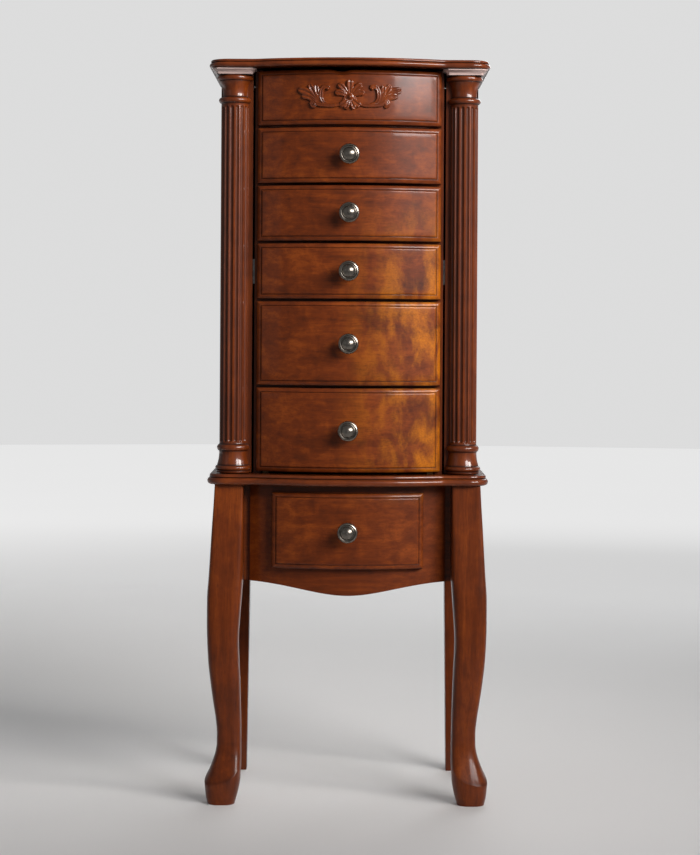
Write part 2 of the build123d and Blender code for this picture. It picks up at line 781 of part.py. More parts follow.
# Cabriole stations from the top down: height as it stands under a leg_height of 436, how far the
# inner and outer edges swing out from the top's, and the round of the section's corners.
leg_stations = [
    (1.000, 0.0, 0.0, 3.0),
    (0.821, 0.0, 4.5, 6.0),
    (0.690, 0.0, 7.8, 9.0),
    (0.573, 3.3, 9.7, 12.0),
    (0.493, 5.2, 9.2, 13.0),
    (0.385, 3.4, 5.2, 12.0),
    (0.261, 1.8, -2.1, 11.0),
    (0.179, 1.5, -4.2, 10.5),
    (0.133, 1.3, 0.9, 12.0),
    (0.096, 1.1, 8.0, 14.0),
    (0.066, 1.1, 11.4, 15.0),
]
knee_start = 2
foot_round = 13.0
foot_inner = 9.5
foot_outer = 7.5


def leg_section(z, inner, outer, corner):
    """A square section of the front leg with round corners, its swing the same to side and front."""
    size = leg_width - inner + outer
    x = leg_inner + inner + size / 2
    y = leg_rear - inner - size / 2
    with BuildSketch(Plane(origin=(x, y, z)), mode=Mode.PRIVATE) as section:
        RectangleRounded(size, size, corner)
    return section.sketch.face()


with BuildPart() as front_leg:
    sections = [leg_section(leg_height * share, i, o, r) for share, i, o, r in leg_stations]
    loft(sections[:knee_start + 1], ruled=True)
    loft(sections[knee_start:])
    ankle_share, ankle_inner, ankle_outer, ankle_round = leg_stations[-1]
    toe = leg_section(leg_height * ankle_share, ankle_inner, ankle_outer, ankle_round)
    loft([toe, leg_section(0, foot_inner, foot_outer, foot_round)], ruled=True)
write_pair(front_leg.part, "front_leg")

with BuildPart() as back_leg:
    add(slab(leg_inner, leg_outer, back_leg_front, case_back_y, apron_bottom, leg_height))
    with BuildSketch(Plane.XY.offset(apron_bottom)):
        with Locations(((leg_inner + leg_outer) / 2, (back_leg_front + case_back_y) / 2)):
            Rectangle(leg_width, back_leg_depth)
    with BuildSketch(Plane.XY):
        foot_x = leg_inner + back_leg_inset + back_leg_foot / 2
        foot_y = back_leg_front + back_leg_inset + (back_leg_depth - back_leg_inset) / 2
        with Locations((foot_x, foot_y)):
            Rectangle(back_leg_foot, back_leg_depth - back_leg_inset)
    loft(ruled=True)
write_pair(back_leg.part, "back_leg")

with BuildPart() as corner_blocks:
    with BuildSketch(Plane.XY.offset(leg_height - block_height)):
        with Locations(block_places):
            Rectangle(block_width, block_width)
            Circle(screw_radius, mode=Mode.SUBTRACT)
    extrude(amount=block_height)
write(corner_blocks.part, "corner_blocks")

with BuildPart() as block_screws:
    with BuildSketch(Plane.XY.offset(leg_height - block_height - screw_head_height)):
        with Locations(block_places):
            Circle(screw_head_radius)
    extrude(amount=screw_head_height)
    with BuildSketch(Plane.XY.offset(leg_height - block_height)):
        with Locations(block_places):
            Circle(screw_radius)
    extrude(amount=block_height + screw_grip)
write(block_screws.part, "block_screws")
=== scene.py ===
import bmesh
import bpy
import numpy as np
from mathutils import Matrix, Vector


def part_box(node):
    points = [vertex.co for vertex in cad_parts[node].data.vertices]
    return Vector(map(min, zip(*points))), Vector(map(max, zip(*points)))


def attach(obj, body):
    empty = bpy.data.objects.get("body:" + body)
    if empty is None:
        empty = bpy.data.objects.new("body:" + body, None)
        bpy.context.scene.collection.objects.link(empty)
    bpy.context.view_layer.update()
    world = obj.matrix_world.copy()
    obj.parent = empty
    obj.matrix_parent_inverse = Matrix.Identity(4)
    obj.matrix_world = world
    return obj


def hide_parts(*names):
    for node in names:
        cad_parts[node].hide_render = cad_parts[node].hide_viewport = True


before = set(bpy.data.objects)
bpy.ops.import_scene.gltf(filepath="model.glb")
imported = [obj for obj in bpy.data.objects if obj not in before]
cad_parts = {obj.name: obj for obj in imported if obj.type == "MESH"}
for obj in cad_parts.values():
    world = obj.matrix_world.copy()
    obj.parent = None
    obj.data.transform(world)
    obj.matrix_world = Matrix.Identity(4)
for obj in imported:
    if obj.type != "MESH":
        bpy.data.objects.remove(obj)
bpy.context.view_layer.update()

bl_info = {
    "name": "Jewelry armoire",
    "version": (1, 0, 0),
    "blender": (4, 5, 0),
    "location": "3D View > Sidebar > Armoire",
    "description": "Builds the shown surfaces and finishes of a bow-front jewelry armoire on its frame",
    "category": "Add Mesh",
}

MM = 0.001
SIDES = {"right": 1, "left": -1}
DRAWERS = ["drawer_1", "drawer_2", "drawer_3", "drawer_4", "drawer_5"]


# --- Sizes and colours that a user would change -------------------------------


def length(name, description, value):
    """A property for a length, in metres."""
    return bpy.props.FloatProperty(
        name=name, description=description, default=value, min=0, subtype="DISTANCE", unit="LENGTH"
    )


def colour(name, description, red, green, blue):
    """A property for a colour, in linear light."""
    return bpy.props.FloatVectorProperty(
        name=name, description=description, default=(red, green, blue),
        min=0, max=1, size=3, subtype="COLOR",
    )


class ArmoireSizes(bpy.types.PropertyGroup):
    """Sizes of the shaped pieces."""

    board_bow: length("Board bow", "How far the lid and waist bow out between the columns", 24 * MM)
    board_corner: length("Board corner", "Radius of the lid's and waist's front corners", 28 * MM)
    board_join: length("Bow half width", "Half the width of the bowed stretch of the boards", 129 * MM)
    front_radius: length("Bow radius", "Radius of the drawer faces in plan", 302 * MM)
    lower_radius: length("Lower bow radius", "Radius of the lower drawer's face in plan", 308.5 * MM)
    front_thickness: length("Front thickness", "Thickness of a drawer front", 12 * MM)
    flute_width: length("Flute width", "Width of a flute across the column", 5.7 * MM)
    flute_depth: length("Flute depth", "Depth of a flute in its middle", 2.1 * MM)
    flutes: bpy.props.IntProperty(
        name="Flutes", description="Flutes round a full column", default=16, min=4
    )
    felt_thickness: length("Felt thickness", "Thickness of the drawers' felt", 1.0 * MM)


class ArmoireColours(bpy.types.PropertyGroup):
    """Colours of the finishes."""

    wood_dark: colour("Wood, dark", "Dark streaks of the stained wood", 0.036, 0.0078, 0.0024)
    wood_mid: colour("Wood, middle", "Ground colour of the stained wood", 0.108, 0.0200, 0.0028)
    wood_light: colour("Wood, light", "Light streaks of the stained wood", 0.225, 0.048, 0.0052)
    # Painted warm reflection: a warm light reflected in the lower drawers, laid on the veneer as a
    # mottled figure.
    wood_warm_reflection: colour("Wood, golden", "Golden figure of the veneer", 0.42, 0.125, 0.0020)
    # Painted shade: the dark colour laid into grooves, flutes, quirks and joins between parts, where
    # shade falls.
    painted_shade: colour("Glaze", "Dark glaze in the grooves", 0.012, 0.004, 0.003)
    # Painted reflection: the caps' pale colour stands for the bright room reflected in their hollows.
    cap: colour("Cap", "Pale painted_reflection of the caps over the columns", 0.46, 0.34, 0.31)
    box_wood: colour("Drawer wood", "Pale wood of the drawer boxes", 0.42, 0.26, 0.13)
    pewter: colour("Knob metal", "Antique metal of the knobs", 0.40, 0.36, 0.31)
    brass: colour("Brass", "Hinges and hooks", 0.62, 0.42, 0.17)
    steel: colour("Steel", "Magnet catches and screws", 0.48, 0.48, 0.47)
    felt: colour("Felt", "Lining of the tray and drawers", 0.10, 0.012, 0.018)
    floor: colour("Floor", "Studio floor", 0.70, 0.70, 0.70)


# --- Shader maths -------------------------------------------------------------


class Number:
    """A value that varies over a surface. Sums on it add Math nodes."""

    def __init__(self, finish, socket):
        self.finish = finish
        self.socket = socket

    def math(self, operation, first, second):
        made = self.finish.node("ShaderNodeMath", {"operation": operation}, {0: first, 1: second})
        return Number(self.finish, made.outputs[0])

    def __add__(self, other):
        return self.math("ADD", self, other)

    def __radd__(self, other):
        return self.math("ADD", other, self)

    def __sub__(self, other):
        return self.math("SUBTRACT", self, other)

    def __rsub__(self, other):
        return self.math("SUBTRACT", other, self)

    def __mul__(self, other):
        return self.math("MULTIPLY", self, other)

    def __pow__(self, other):
        return self.math("POWER", self, other)

    def within(self, low, high):
        """0 below low, 1 above high and smooth between them."""
        made = self.finish.node(
            "ShaderNodeMapRange",
            {"interpolation_type": "SMOOTHSTEP"},
            {"Value": self, "From Min": low, "From Max": high},
        )
        return Number(self.finish, made.outputs[0])


class Finish:
    """One material: its nodes are added by the methods below."""

    def __init__(self, name, **constants):
        self.material = bpy.data.materials.new(name)
        self.material.use_nodes = True
        self.nodes = self.material.node_tree.nodes
        self.links = self.material.node_tree.links
        self.shader = self.nodes["Principled BSDF"]
        for socket, value in constants.items():
            self.set(self.shader.inputs[socket.replace("_", " ")], value)
        place = self.node("ShaderNodeTexCoord")
        self.place = place.outputs["Object"]

    def set(self, socket, value):
        """Link a number or socket, or set a constant."""
        if isinstance(value, Number):
            value = value.socket
        if isinstance(value, bpy.types.NodeSocket):
            self.links.new(value, socket)
        elif hasattr(value, "__len__") and len(value) == 3 and socket.type == "RGBA":
            socket.default_value = (*value, 1)
        else:
            socket.default_value = value

    def node(self, kind, settings=None, inputs=None):
        """Add a node: its settings first, then the values or links of its sockets."""
        made = self.nodes.new(kind)
        for name, value in (settings or {}).items():
            setattr(made, name, value)
        for name, value in (inputs or {}).items():
            self.set(made.inputs[name], value)
        return made

    def ramp(self, value, stops):
        """A colour ramp through (position, colour) stops."""
        made = self.nodes.new("ShaderNodeValToRGB")
        points = made.color_ramp.elements
        while len(points) < len(stops):
            points.new(0.5)
        for point, (position, shade) in zip(points, stops):
            point.position = position
            point.color = (*shade, 1)
        self.set(made.inputs["Fac"], value)
        return made.outputs["Color"]

    def stretched(self, scale):
        """Object coordinates stretched along each axis."""
        made = self.node("ShaderNodeMapping", None, {"Vector": self.place, "Scale": scale})
        return made.outputs[0]

    def noise(self, place, scale, detail=4.0, roughness=0.55, distortion=0.0):
        """Soft noise from 0 to 1, its scale in cells to the metre."""
        made = self.node(
            "ShaderNodeTexNoise",
            None,
            {
                "Vector": place, "Scale": scale, "Detail": detail, "Roughness": roughness,
                "Distortion": distortion,
            },
        )
        return Number(self, made.outputs["Fac"])

    def mix(self, factor, first, second):
        """The first colour at a factor of 0 and the second at 1."""
        made = self.node("ShaderNodeMix", {"data_type": "RGBA"})
        self.set(made.inputs[0], factor)
        self.set(made.inputs[6], first)
        self.set(made.inputs[7], second)
        return made.outputs[2]

    def attribute(self, name):
        """A value that the mesh carries at its points."""
        made = self.node("ShaderNodeAttribute", {"attribute_name": name})
        return Number(self, made.outputs["Fac"])

    def parts(self):
        """The three object coordinates, in metres."""
        made = self.node("ShaderNodeSeparateXYZ", None, {0: self.place})
        return [Number(self, out) for out in made.outputs]

    def bump(self, height, distance, strength=1.0, normal=None):
        """A normal for a relief of a height times a distance in metres."""
        made = self.node(
            "ShaderNodeBump", None, {"Height": height, "Distance": distance, "Strength": strength}
        )
        if normal is not None:
            self.set(made.inputs["Normal"], normal)
        return made.outputs[0]

    def output(self, **inputs):
        """Feed the varying inputs of the shader."""
        for name, value in inputs.items():
            self.set(self.shader.inputs[name.replace("_", " ")], value)
        return self.material


# --- Finishes -----------------------------------------------------------------

GRAIN = {"x": (0.06, 1, 1), "y": (1, 0.06, 1), "z": (1, 1, 0.06)}


EDGE_SOFTNESS = 0.9 * MM
# Strength of the painted warm reflection on the drawer veneer.
VENEER_REFLECTION = 0.85


def soft_edges(finish, radius):
    """Normals that run softly round the edges of a plain piece."""
    return finish.node("ShaderNodeBevel", {"samples": 4}, {"Radius": radius}).outputs[0]


def stained_wood(name, grain, colours, figure=0.35, warm_reflection=0.0, with_painted_shade=False, rounded=False, polish=0.34):
    """Stained and lacquered wood: streaks along the grain, cross figure, fine pores, painted shade in
    grooves.

    A painted warm reflection, laid on as a mottled figure, lies to the right of the middle, between two
    heights.
    """
    finish = Finish(name, IOR=1.5, Specular_IOR_Level=0.13, Coat_Roughness=0.09, Coat_IOR=1.4)
    along = finish.stretched(GRAIN[grain])
    x, _, z = finish.parts()
    drift = finish.noise(finish.place, 9.0, 3.0)
    streaks = finish.noise(along, 46.0, 6.0, 0.62, 0.6)
    fine = finish.noise(along, 230.0, 4.0, 0.6)
    pores = finish.noise(along, 900.0, 2.0, 0.5)
    mottle = finish.noise(finish.place, 48.0, 4.0, 0.6, 0.6)
    tone = streaks * 0.40 + fine * 0.30 + drift * 0.30 + (mottle - 0.5) * figure
    shade = finish.ramp(
        tone,
        [(0.28, colours.wood_dark), (0.50, colours.wood_mid), (0.74, colours.wood_light)],
    )
    # Painted warm reflection: a yellow-orange mottle right of the middle and between two heights, where a
    # warm light reflects in the bowed fronts.
    if warm_reflection:
        patch = finish.noise(finish.stretched((1, 1, 0.55)), 38.0, 4.0, 0.55, 0.35)
        spread = x.within(-0.03, 0.11) * z.within(0.40, 0.47) * (1 - z.within(0.68, 0.86))
        fleck = 0.7 + finish.noise(finish.place, 420.0, 3.0, 0.7).within(0.40, 0.62) * 0.3
        shade = finish.mix(patch.within(0.36, 0.64) * fleck * spread * warm_reflection, shade, colours.wood_warm_reflection)
    dark_pores = (1 - pores.within(0.33, 0.46)) * 0.30
    shade = finish.mix(dark_pores, shade, colours.wood_dark)
    rough = 0.34 + streaks * 0.08 + (pores - 0.5) * 0.10
    coat = polish - (pores - 0.5) * 0.3
    # Painted shade from the mesh's attribute darkens the grooves and joins.
    if with_painted_shade:
        dark = finish.attribute("painted_shade")
        shade = finish.mix(dark, shade, colours.painted_shade)
        rough = rough + dark * 0.2
        coat = coat * (1 - dark * 0.7)
    edge = soft_edges(finish, EDGE_SOFTNESS) if rounded else None
    relief = finish.bump(fine * 0.5 + pores * 0.6, 0.00012, 0.5, edge)
    return finish.output(Base_Color=shade, Roughness=rough, Coat_Weight=coat, Normal=relief)


def cap_painted_reflection(colours):
    """The cove caps: wood with faint grain and the wood's tint, coloured pale as a painted reflection of
    the bright room, with painted shade at the foot.
    """
    finish = Finish("Pale cap painted_reflection", IOR=1.5, Coat_Roughness=0.2)
    streaks = finish.noise(finish.stretched(GRAIN["x"]), 80.0, 5.0, 0.6, 0.4)
    # The pale tones below are a painted reflection.
    tinted = tuple(0.7 * c for c in colours.cap)
    shade = finish.ramp(streaks, [(0.3, tinted), (0.7, colours.cap)])
    # Painted shade from the mesh's attribute, at the cap's foot.
    shade = finish.mix(finish.attribute("painted_shade"), shade, colours.painted_shade)
    return finish.output(
        Base_Color=shade, Roughness=0.35 + streaks * 0.1, Coat_Weight=0.3 + streaks * 0.2,
        Normal=finish.bump(streaks, 0.0001, 0.4),
    )


def drawer_wood(colours):
    """Pale unstained wood with a thin satin sealer."""
    finish = Finish("Pale drawer wood", IOR=1.45, Coat_Roughness=0.4)
    along = finish.stretched(GRAIN["x"])
    streaks = finish.noise(along, 60.0, 5.0, 0.6, 0.5)
    pores = finish.noise(along, 700.0, 2.0)
    dark = tuple(0.6 * c for c in colours.box_wood)
    shade = finish.ramp(streaks, [(0.3, dark), (0.7, colours.box_wood)])
    shade = finish.mix((1 - pores.within(0.35, 0.5)) * 0.4, shade, dark)
    relief = finish.bump(streaks * 0.5 + pores, 0.0001, 0.5, soft_edges(finish, 0.6 * MM))
    return finish.output(Base_Color=shade, Roughness=0.5 + streaks * 0.15, Normal=relief)


def antique_metal(colours):
    """Old pewter with darker hollows and a soft polish on what is touched."""
    finish = Finish("Antique pewter", Metallic=1.0, IOR=1.5)
    cloud = finish.noise(finish.place, 160.0, 4.0, 0.6)
    grit = finish.noise(finish.place, 1500.0, 3.0)
    touched = finish.node("ShaderNodeNewGeometry").outputs["Pointiness"]
    worn = Number(finish, touched).within(0.47, 0.56)
    dark = tuple(0.10 * c for c in colours.pewter)
    shade = finish.mix(worn * 0.75 + cloud * 0.25, dark, colours.pewter)
    rough = 0.34 - worn * 0.12 + (cloud - 0.5) * 0.18
    relief = finish.bump(grit + cloud, 0.00008, 0.5)
    return finish.output(Base_Color=shade, Roughness=rough, Normal=relief)


def plain_metal(name, shade, rough):
    """A worked metal with faint clouding and drawn scratches."""
    finish = Finish(name, Metallic=1.0)
    cloud = finish.noise(finish.place, 210.0, 4.0)
    scratch = finish.noise(finish.stretched((1, 1, 0.05)), 2600.0, 2.0)
    dark = tuple(0.55 * c for c in shade)
    tint = finish.mix(cloud.within(0.35, 0.6), dark, shade)
    relief = finish.bump(scratch, 0.00004, 0.6)
    return finish.output(Base_Color=tint, Roughness=rough + (cloud - 0.5) * 0.25, Normal=relief)


def felt(colours):
    """Short-napped felt with clouding, lint and a soft sheen."""
    finish = Finish("Felt", IOR=1.35, Sheen_Weight=0.6, Sheen_Roughness=0.4)
    cloud = finish.noise(finish.place, 90.0, 4.0, 0.6)
    fibre = finish.noise(finish.place, 2600.0, 4.0, 0.7, 2.0)
    dark = tuple(0.45 * c for c in colours.felt)
    pale = tuple(min(1, 1.9 * c + 0.01) for c in colours.felt)
    shade = finish.ramp(
        cloud * 0.5 + fibre * 0.5, [(0.3, dark), (0.52, colours.felt), (0.72, pale)]
    )
    relief = finish.bump(fibre, 0.0004, 0.8)
    return finish.output(Base_Color=shade, Roughness=0.86 + fibre * 0.1, Normal=relief)


def mirror_glass():
    """Silvered glass with the faintest haze."""
    finish = Finish("Silvered mirror", Metallic=1.0)
    haze = finish.noise(finish.place, 35.0, 3.0)
    shade = finish.ramp(haze, [(0.3, (0.86, 0.88, 0.88)), (0.7, (0.93, 0.94, 0.93))])
    return finish.output(Base_Color=shade, Roughness=haze.within(0.45, 0.8) * 0.03 + 0.01)


def studio_floor(colours):
    """Pale matt floor with barely seen cloudiness."""
    finish = Finish("Studio floor", Emission_Strength=0.9)
    cloud = finish.noise(finish.place, 1.5, 2.0)
    pale = tuple(1.03 * c for c in colours.floor)
    shade = finish.ramp(cloud, [(0.3, colours.floor), (0.7, pale)])
    x, y, _ = finish.parts()
    far = ((x * x + y * y) ** 0.5).within(1.0, 4.5) * y.within(0.0, 1.0)
    glow = finish.mix(far, (0.0, 0.0, 0.0), colours.floor)
    return finish.output(Base_Color=shade, Emission_Color=glow, Roughness=0.6 + cloud * 0.1)


finishes = {}


def finish_named(name):
    """A finish by its name, made the first time that it is asked for."""
    colours = bpy.context.scene.armoire_colours
    woods = {
        "wood_x": ("Stained wood, grain across", "x", {"figure": 0.15, "rounded": True}),
        "wood_y": ("Stained wood, grain back", "y", {"figure": 0.22, "rounded": True}),
        "wood_z": ("Stained wood, grain up", "z", {"figure": 0.22, "rounded": True}),
        "leg": ("Leg wood", "z", {"figure": 0.25, "with_painted_shade": True, "polish": 0.25}),
        "front": ("Figured drawer veneer", "x", {"figure": 0.45, "warm_reflection": VENEER_REFLECTION, "with_painted_shade": True}),
        "board": ("Moulded board", "x", {"figure": 0.3, "with_painted_shade": True, "polish": 0.75}),
        "turned": ("Turned and carved wood", "z", {"figure": 0.25, "with_painted_shade": True, "polish": 0.8}),
    }
    others = {
        "cap": lambda: cap_painted_reflection(colours),
        "box": lambda: drawer_wood(colours),
        "pewter": lambda: antique_metal(colours),
        "brass": lambda: plain_metal("Brass", colours.brass, 0.32),
        "steel": lambda: plain_metal("Steel", colours.steel, 0.38),
        "felt": lambda: felt(colours),
        "mirror": mirror_glass,
        "floor": lambda: studio_floor(colours),
    }
    if name not in finishes and name in woods:
        title, grain, options = woods[name]
        finishes[name] = stained_wood(title, grain, colours, **options)
    if name not in finishes:
        finishes[name] = others[name]()
    return finishes[name]


# --- Surfaces -----------------------------------------------------------------


def curve_through(places, values, at):
    """A smooth curve through the values at rising places, read at other places (cubic, no overshoot)."""
    places = np.asarray(places, float)
    values = np.asarray(values, float)
    steps = np.diff(places)
    rises = np.diff(values) / steps
    slopes = np.zeros_like(values)
    same = rises[:-1] * rises[1:] > 0
    harmonic = 2 * rises[:-1] * rises[1:] / np.where(same, rises[:-1] + rises[1:], 1)
    slopes[1:-1] = np.where(same, harmonic, 0)
    slopes[0], slopes[-1] = rises[0], rises[-1]
    spot = np.clip(np.searchsorted(places, at, side="right") - 1, 0, len(steps) - 1)
    t = (at - places[spot]) / steps[spot]
    h = steps[spot]
    return (
        (2 * t**3 - 3 * t**2 + 1) * values[spot]
        + (t**3 - 2 * t**2 + t) * h * slopes[spot]
        + (3 * t**2 - 2 * t**3) * values[spot + 1]
        + (t**3 - t**2) * h * slopes[spot + 1]
    )


def loop_faces(rows, columns):
    """Quads between rows of closed rings, each of so many columns."""
    i, j = np.meshgrid(np.arange(rows - 1), np.arange(columns), indexing="ij")
    k = (j + 1) % columns
    this, above = i * columns, (i + 1) * columns
    return np.stack([this + j, this + k, above + k, above + j], -1).reshape(-1, 4)


def closed_rings(rings):
    """Points and faces of a shape made of closed rings, its two ends closed to their middles."""
    rings = np.asarray(rings, float)
    rows, columns, _ = rings.shape
    points = np.concatenate([rings.reshape(-1, 3), rings[0].mean(0)[None], rings[-1].mean(0)[None]])
    faces = loop_faces(rows, columns).tolist()
    first, last = rows * columns, rows * columns + 1
    end = (rows - 1) * columns
    for j in range(columns):
        k = (j + 1) % columns
        faces.append([first, k, j])
        faces.append([last, end + j, end + k])
    return points, faces


def shaded_rings(rings, painted_shade):
    """A shape made of closed rings, and its painted shade with none on the two end points."""
    return closed_rings(rings), np.concatenate([*painted_shade, [0, 0]])


def closed_sheet(front, rear):
    """A closed shape between two grids of points that have the same rows and columns."""
    rows, columns, _ = front.shape
    count = rows * columns
    index = np.arange(count).reshape(rows, columns)
    corners = [index[:-1, :-1], index[:-1, 1:], index[1:, 1:], index[1:, :-1]]
    quads = np.stack(corners, -1).reshape(-1, 4)
    rim = np.concatenate([index[0, :-1], index[:-1, -1], index[-1, :0:-1], index[:0:-1, 0]])
    following = np.roll(rim, -1)
    walls = np.stack([following, rim, rim + count, following + count], -1)
    faces = quads.tolist() + (quads[:, ::-1] + count).tolist() + walls.tolist()
    return np.concatenate([front.reshape(-1, 3), rear.reshape(-1, 3)]), faces


def joined(shapes):
    """Several shapes as one list of points and one of faces."""
    points, faces, start = [], [], 0
    for some_points, some_faces in shapes:
        points.append(some_points)
        faces += [[start + v for v in face] for face in some_faces]
        start += len(some_points)
    return np.concatenate(points), faces


def make_piece(name, shape, body, finish, replaced=(), painted_shade=None, sharp=32):
    """Put a shape into the scene as a piece that rides on a body and stands for frame nodes."""
    points, faces = shape
    mesh = bpy.data.meshes.new(name)
    mesh.from_pydata(np.asarray(points).tolist(), [], faces)
    if painted_shade is not None:
        layer = mesh.attributes.new("painted_shade", "FLOAT", "POINT")
        layer.data.foreach_set("value", np.asarray(painted_shade, np.float32))
    work = bmesh.new()
    work.from_mesh(mesh)
    bmesh.ops.remove_doubles(work, verts=work.verts, dist=1e-6)
    bmesh.ops.recalc_face_normals(work, faces=work.faces)
    work.to_mesh(mesh)
    work.free()
    return show_mesh(name, mesh, body, finish, replaced, sharp)


def show_mesh(name, mesh, body, finish, replaced=(), sharp=32):
    """Put a finished mesh into the scene, smooth but for its sharp edges."""
    mesh.polygons.foreach_set("use_smooth", np.ones(len(mesh.polygons), bool))
    mesh.set_sharp_from_angle(angle=np.radians(sharp))
    mesh.materials.clear()
    mesh.materials.append(finish_named(finish))
    piece = bpy.data.objects.new(name, mesh)
    bpy.context.scene.collection.objects.link(piece)
    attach(piece, body)
    if replaced:
        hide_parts(*replaced)
    return piece


def dress(finish, *nodes):
    """Give frame nodes a finish."""
    for node in nodes:
        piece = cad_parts[node]
        if not piece.material_slots:
            piece.data.materials.append(None)
        for held in piece.material_slots:
            held.link = "OBJECT"
            held.material = finish_named(finish)


# --- Moulded boards -----------------------------------------------------------


def arc(centre, radius, start, end, count):
    """Points and outward normals on an arc, its angles in radians from +X."""
    turn = np.linspace(start, end, count)
    normals = np.stack([np.cos(turn), np.sin(turn)], -1)
    return np.asarray(centre) + radius * normals, normals


def board_outline(half, front, back, sizes):
    """Half-ring of the board's plan from its right back corner round the front to the left one.

    A straight side, a quarter circle, a straight stretch over the column, a hollow fillet and the bow,
    which is a circle through the two joins and the bow's middle; the left half is its mirror image.
    """
    corner, bow, join = sizes.board_corner, sizes.board_bow, sizes.board_join
    bow_radius = (join**2 + bow**2) / (2 * bow)
    centre_y = front - bow + bow_radius
    rise = centre_y - front + corner
    fillet_x = np.sqrt((bow_radius + corner) ** 2 - rise**2)
    lean = np.arctan2(fillet_x, rise)
    side = np.linspace(back, front + corner, 8)[:-1]
    points = [np.stack([np.full_like(side, half), side], -1)]
    normals = [np.tile((1.0, 0.0), (len(side), 1))]
    spot, out = arc((half - corner, front + corner), corner, 0, -np.pi / 2, 14)
    points.append(spot)
    normals.append(out)
    spot, out = arc((fillet_x, front - corner), corner, np.pi / 2, np.pi / 2 + lean, 7)
    points.append(spot)
    normals.append(-out)
    spot, out = arc((0, centre_y), bow_radius, -np.pi / 2 + lean, -np.pi / 2, 26)
    points.append(spot[1:])
    normals.append(out[1:])
    points, normals = np.concatenate(points), np.concatenate(normals)
    flip = np.array([-1.0, 1.0])
    return (
        np.concatenate([points, points[:-1][::-1] * flip]),
        np.concatenate([normals, normals[:-1][::-1] * flip]),
    )


def moulded_board(node, profile, sizes, recess=0.0, lip=0.0):
    """A board whose moulded edge is a profile carried round its plan, with flat faces above and below.

    The profile is (how far in from the edge, height, painted shade) from the top face down to the
    underside.
    """
    low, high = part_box(node)
    front = low.y + sizes.board_bow
    outline, normals = board_outline(high.x, front, high.y, sizes)
    centre = np.array([0.0, (front + high.y) / 2])
    rings, painted_shade = [], []

    def ring(inset, height, dark, scale=1.0):
        plan = outline - normals * inset
        plan[0, 1] = plan[-1, 1] = high.y
        plan = centre + (plan - centre) * scale
        rings.append(np.column_stack([plan, np.full(len(plan), height)]))
        painted_shade.append(np.full(len(plan), dark))

    for scale in (0.25, 0.5, 0.75):
        ring(profile[0][0], profile[0][1], 0, scale)
    for inset, height, dark in profile:
        ring(inset, height, dark)
    inset, height, dark = profile[-1]
    if recess:
        ring(lip, height, 0)
        ring(lip + recess, height + recess, 0)
        inset, height = lip + recess, height + recess
    for scale in (0.75, 0.5, 0.25):
        ring(inset, height, 0, scale)
    return shaded_rings(rings, painted_shade)


def nose(top, bottom, inset, count=13):
    """A full round nose between two heights, as (inset, height, painted shade), the shade darkest at its
    top and bottom.
    """
    half = (top - bottom) / 2
    return [
        (inset + half * (1 - np.sin(t)), bottom + half * (1 + np.cos(t)), 0.25 * abs(np.cos(t)) ** 6)
        for t in np.linspace(0, np.pi, count)
    ]


def quarter(top, bottom, inset, reach, count=7):
    """A convex quarter round from a flat top, falling to bottom, as (inset, height, painted shade)."""
    return [
        (inset + reach * (1 - np.sin(t)), bottom + (top - bottom) * np.cos(t), 0.0)
        for t in np.linspace(0, np.pi / 2, count)
    ]


class ARMOIRE_OT_lid(bpy.types.Operator):
    """Lid with a bead and a full round nose along its bowed edge."""

    bl_idname = "armoire.lid"
    bl_label = "Lid"

    def execute(self, context):
        sizes = context.scene.armoire_sizes
        low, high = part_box("lid_panel")
        groove = high.z - 3.7 * MM
        # The third numbers of the lid's profile are painted shade in the groove under the bead and round
        # the nose.
        profile = [(12 * MM, high.z, 0.0)]
        profile += quarter(high.z, high.z - 2.7 * MM, 1.9 * MM, 1.9 * MM)
        profile += [(2.1 * MM, groove + 0.5 * MM, 0.6), (3.0 * MM, groove, 1.0)]
        profile += [(2.7 * MM, groove - 0.3 * MM, 0.8)]
        profile += nose(groove - 0.3 * MM, low.z, 0.0)[1:]
        shape, painted_shade = moulded_board("lid_panel", profile, sizes, recess=0.4 * MM, lip=11 * MM)
        make_piece("lid", shape, "lid", "board", ["lid_panel"], painted_shade)
        dress("mirror", "mirror")
        return {"FINISHED"}


class ARMOIRE_OT_waist(bpy.types.Operator):
    """Waist board between case and apron, with a bead above a bigger nose."""

    bl_idname = "armoire.waist"
    bl_label = "Waist board"

    def execute(self, context):
        sizes = context.scene.armoire_sizes
        low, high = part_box("waist_board")
        groove = high.z - 4.6 * MM
        # The third numbers of the waist's profile are painted shade beside the bead, in its groove and
        # round the nose.
        profile = [(14 * MM, high.z, 0.0), (5 * MM, high.z, 0.3)]
        profile += quarter(high.z, high.z - 3.6 * MM, 3.0 * MM, 2.2 * MM)
        profile += [(3.2 * MM, groove + 0.5 * MM, 0.7), (4.4 * MM, groove, 1.0)]
        profile += [(4.0 * MM, groove - 0.4 * MM, 0.8)]
        profile += nose(groove - 0.4 * MM, low.z, 0.0)[1:]
        shape, painted_shade = moulded_board("waist_board", profile, sizes)
        make_piece("waist", shape, "case", "board", ["waist_board"], painted_shade)
        return {"FINISHED"}


# --- Bowed fronts -------------------------------------------------------------

# The moulded edge of a front: how far in from the edge, how far behind the face, and the painted shade
# there, darkest in the routed line and at the outer arris.
EDGE_IN = np.array([0.0, 0.5, 1.1, 1.8, 2.6, 3.4, 4.2, 4.9, 5.35, 5.6, 6.0, 6.4, 6.8, 7.3, 8.4]) * MM
EDGE_BACK = np.array(
    [3.6, 3.0, 2.55, 2.1, 1.7, 1.4, 1.18, 1.08, 1.1, 1.5, 1.55, 1.1, 0.4, 0.08, 0.0]
) * MM
EDGE_SHADE = np.array([0.7, 0.25, 0.0, 0.0, 0.0, 0.0, 0.0, 0.0, 0.3, 0.6, 0.6, 0.3, 0.0, 0.0, 0.0])

